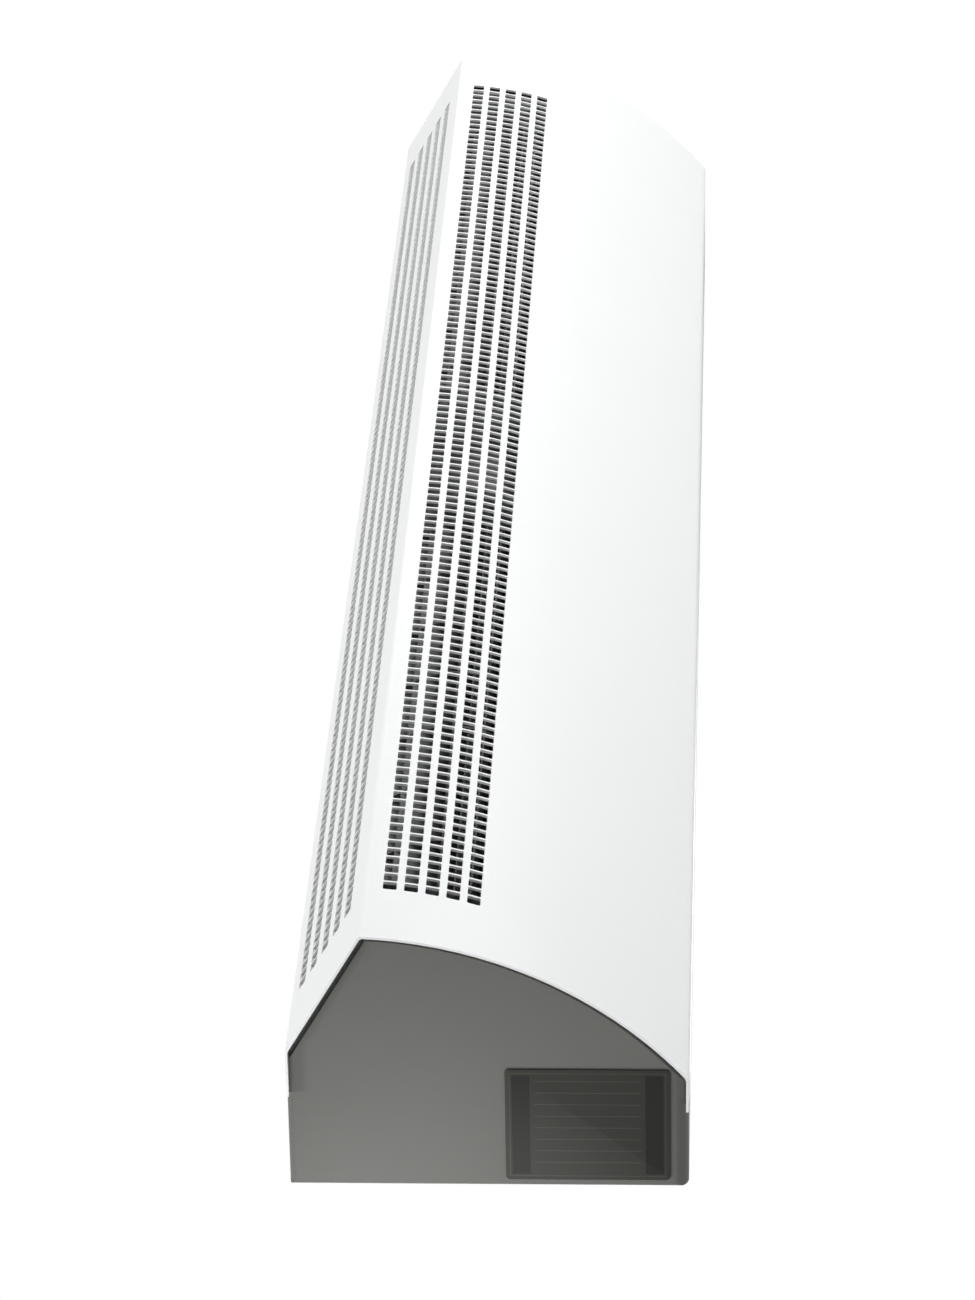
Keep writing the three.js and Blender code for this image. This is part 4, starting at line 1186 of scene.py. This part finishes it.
def makeMark(name, kind, pivot, z):
    # a bar or a ring of white moulding that stands a tenth of a millimetre out of the key
    size = {"bar": (0.45 * mm, 1.7 * mm), "ring": (1.7 * mm, 1.1 * mm), "sunk": 1.2 * mm, "proud": 0.12 * mm}
    place = pivot + Vector((0, 0, z))
    surface = place.x + surfaceAt(z)
    low = surface - size["sunk"]
    high = surface + size["proud"]
    if kind == "bar":
        half = Vector(size["bar"])
        return startBox(name, (low, *(place.yz - half)), (high, *(place.yz + half)))
    outer, inner = size["ring"]
    return makeTurned(name, "x", place, [(low, inner), (low, outer), (high, outer), (high, inner)], 32)


def finishedMark(piece, node):
    letGo()
    piece.data.materials.clear()
    piece.data.materials.append(finishes["white_paint"])
    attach(piece, bodyOf[node])


# building it

makeFrontCover()
print("front cover folded and perforated")
makeBackTray()
for side in (-1, 1):
    makeEndCap(side)
makeRatingPlate()
makeCoverScrews()
print("casing done")
makeScroll()
makeTongue()
makeOutletRail()
makeOutletEnd("outlet_end_left")
makeOutletEnd("outlet_end_right")
makeVane()
makeVanePin("vane_pin_left")
makeVanePin("vane_pin_right")
print("air path done")
for side in (-1, 1):
    makeWheel(side)
makeMotor()
makeTurnedPieces()
print("fan done")
makeHeaters()
makeCutout()
makeCapacitor()
makeGrommet()
makeSwitchBody("fan_switch_body")
makeSwitchBody("heat_switch_body")
makeRocker("fan_rocker", "fan_switch_body")
makeRocker("heat_rocker", "heat_switch_body")
print("heat and switches done")

# the CAD nodes that stay are sheet metal and hidden pieces: they get their finish
for node, piece in frame["nodes"].items():
    piece.data.materials.clear()
    piece.data.materials.append(finishes[slotOf[node]])


# studio

def makeStudio():
    studio = {
        "floorHeight": -0.95, "floorSize": 7.0, "floor": grey(0.86), "darker": grey(0.84), "ambient": 0.13,
        "paper": grey(0.93), "paleShare": 0.75,
        "lamps": (
            {"name": "front", "place": (0.35, -2.4, -0.2), "size": 1.4, "watts": 29, "aim": (0.1, 0, 0)},
            {"name": "graze", "place": (-1.9, -3.9, 1.94), "size": 1.2, "watts": 22, "aim": (-0.4, 0, 0)},
            {"name": "near_top", "place": (-1.95, 0.24, 2.64), "size": 0.6, "watts": 45, "aim": (-0.5, 0, 0)},
            {"name": "above", "place": (0.4, -0.9, 2.4), "size": 1.8, "watts": 20, "aim": (0, 0, 0)},
            {
                "name": "wall_side", "place": (-0.74, 0.12, 0.06), "size": 0.15, "watts": 0.52,
                "aim": (-0.55, -0.02, 0.01),
            },
            {"name": "back", "place": (1.5, 2.2, 0.9), "size": 1.8, "watts": 36, "aim": (0, 0, 0)},
            {"name": "far_end", "place": (2.5, -0.7, 0.4), "size": 1.2, "watts": 14, "aim": (0.5, 0, 0)},
            {"name": "low", "place": (1.5, -1.5, -0.75), "size": 0.8, "watts": 10, "aim": (0.1, 0, 0)},
        ),
    }
    letGo()
    bpy.ops.mesh.primitive_plane_add(size=studio["floorSize"], location=(0, 0, studio["floorHeight"]))
    floor = bpy.context.object
    floor.name = "floor"
    matt = Finish("floor_paper", Roughness=0.9, Specular_IOR_Level=0.1)
    matt.feed("Base Color", matt.blend(matt.noise(3, 2), studio["floor"], studio["darker"]))
    # the camera sees the paper nearly white, with the shadow on it, and sees through it from below
    output = matt.tree.nodes["Material Output"]
    below = matt.node("ShaderNodeNewGeometry", output="Backfacing")
    camera = matt.node("ShaderNodeLightPath", output="Is Camera Ray")
    clear = matt.node("ShaderNodeBsdfTransparent")
    pale = matt.node("ShaderNodeEmission", {}, {"Color": studio["paper"], "Strength": 1.0})
    lit = Wire(matt, matt.shader.outputs[0])
    paper = matt.node("ShaderNodeMixShader", {}, {0: studio["paleShare"] * camera, 1: lit, 2: pale})
    mixed = matt.node("ShaderNodeMixShader", {}, {0: below * camera, 1: paper, 2: clear})
    matt.tree.links.new(mixed.socket, output.inputs["Surface"])
    floor.data.materials.append(matt.material)
    for lamp in studio["lamps"]:
        bpy.ops.object.light_add(type="AREA", location=lamp["place"])
        light = bpy.context.object
        light.name = lamp["name"]
        light.data.size = lamp["size"]
        light.data.energy = lamp["watts"]
        light.rotation_euler = (Vector(lamp["aim"]) - light.location).to_track_quat("-Z", "Y").to_euler()
        light.visible_camera = False
    world = bpy.data.worlds.new("studio")
    bpy.context.scene.world = world
    world.use_nodes = True
    tree = world.node_tree
    backdrop = tree.nodes["Background"]
    strength = tree.nodes.new("ShaderNodeMapRange")
    # full white for what the camera, the metal and the glass see, and little of it as light
    paths = tree.nodes.new("ShaderNodeLightPath")
    seen = paths.outputs["Is Camera Ray"]
    for ray in ("Is Glossy Ray", "Is Transmission Ray"):
        either = tree.nodes.new("ShaderNodeMath")
        either.operation = "MAXIMUM"
        tree.links.new(seen, either.inputs[0])
        tree.links.new(paths.outputs[ray], either.inputs[1])
        seen = either.outputs[0]
    tree.links.new(seen, strength.inputs["Value"])
    strength.inputs["To Min"].default_value = studio["ambient"]
    strength.inputs["To Max"].default_value = 1.0
    tree.links.new(strength.outputs[0], backdrop.inputs["Strength"])
    backdrop.inputs["Color"].default_value = (1, 1, 1, 1)


def makeCamera():
    # a long lens low at the near end, turned so that the unit's length runs up the picture
    view = {
        "place": (-2.8745, -1.4573, -0.1159), "ahead": (0.8914, 0.4512, 0.0429),
        "down": (0.0396, 0.0166, -0.9991), "lens": 163.6,
    }
    ahead = Vector(view["ahead"]).normalized()
    right = Vector(view["down"])
    right = (right - ahead * right.dot(ahead)).normalized()
    up = right.cross(ahead)
    bpy.ops.object.camera_add(location=view["place"])
    camera = bpy.context.object
    camera.name = "photo_view"
    camera.rotation_mode = "QUATERNION"
    camera.rotation_quaternion = Matrix((right, up, -ahead)).transposed().to_quaternion()
    camera.data.lens = view["lens"]
    camera.data.clip_start = 0.01
    camera.data.clip_end = 60
    bpy.context.scene.camera = camera


makeStudio()
makeCamera()
bpy.context.scene.view_settings.view_transform = "Standard"
letGo()
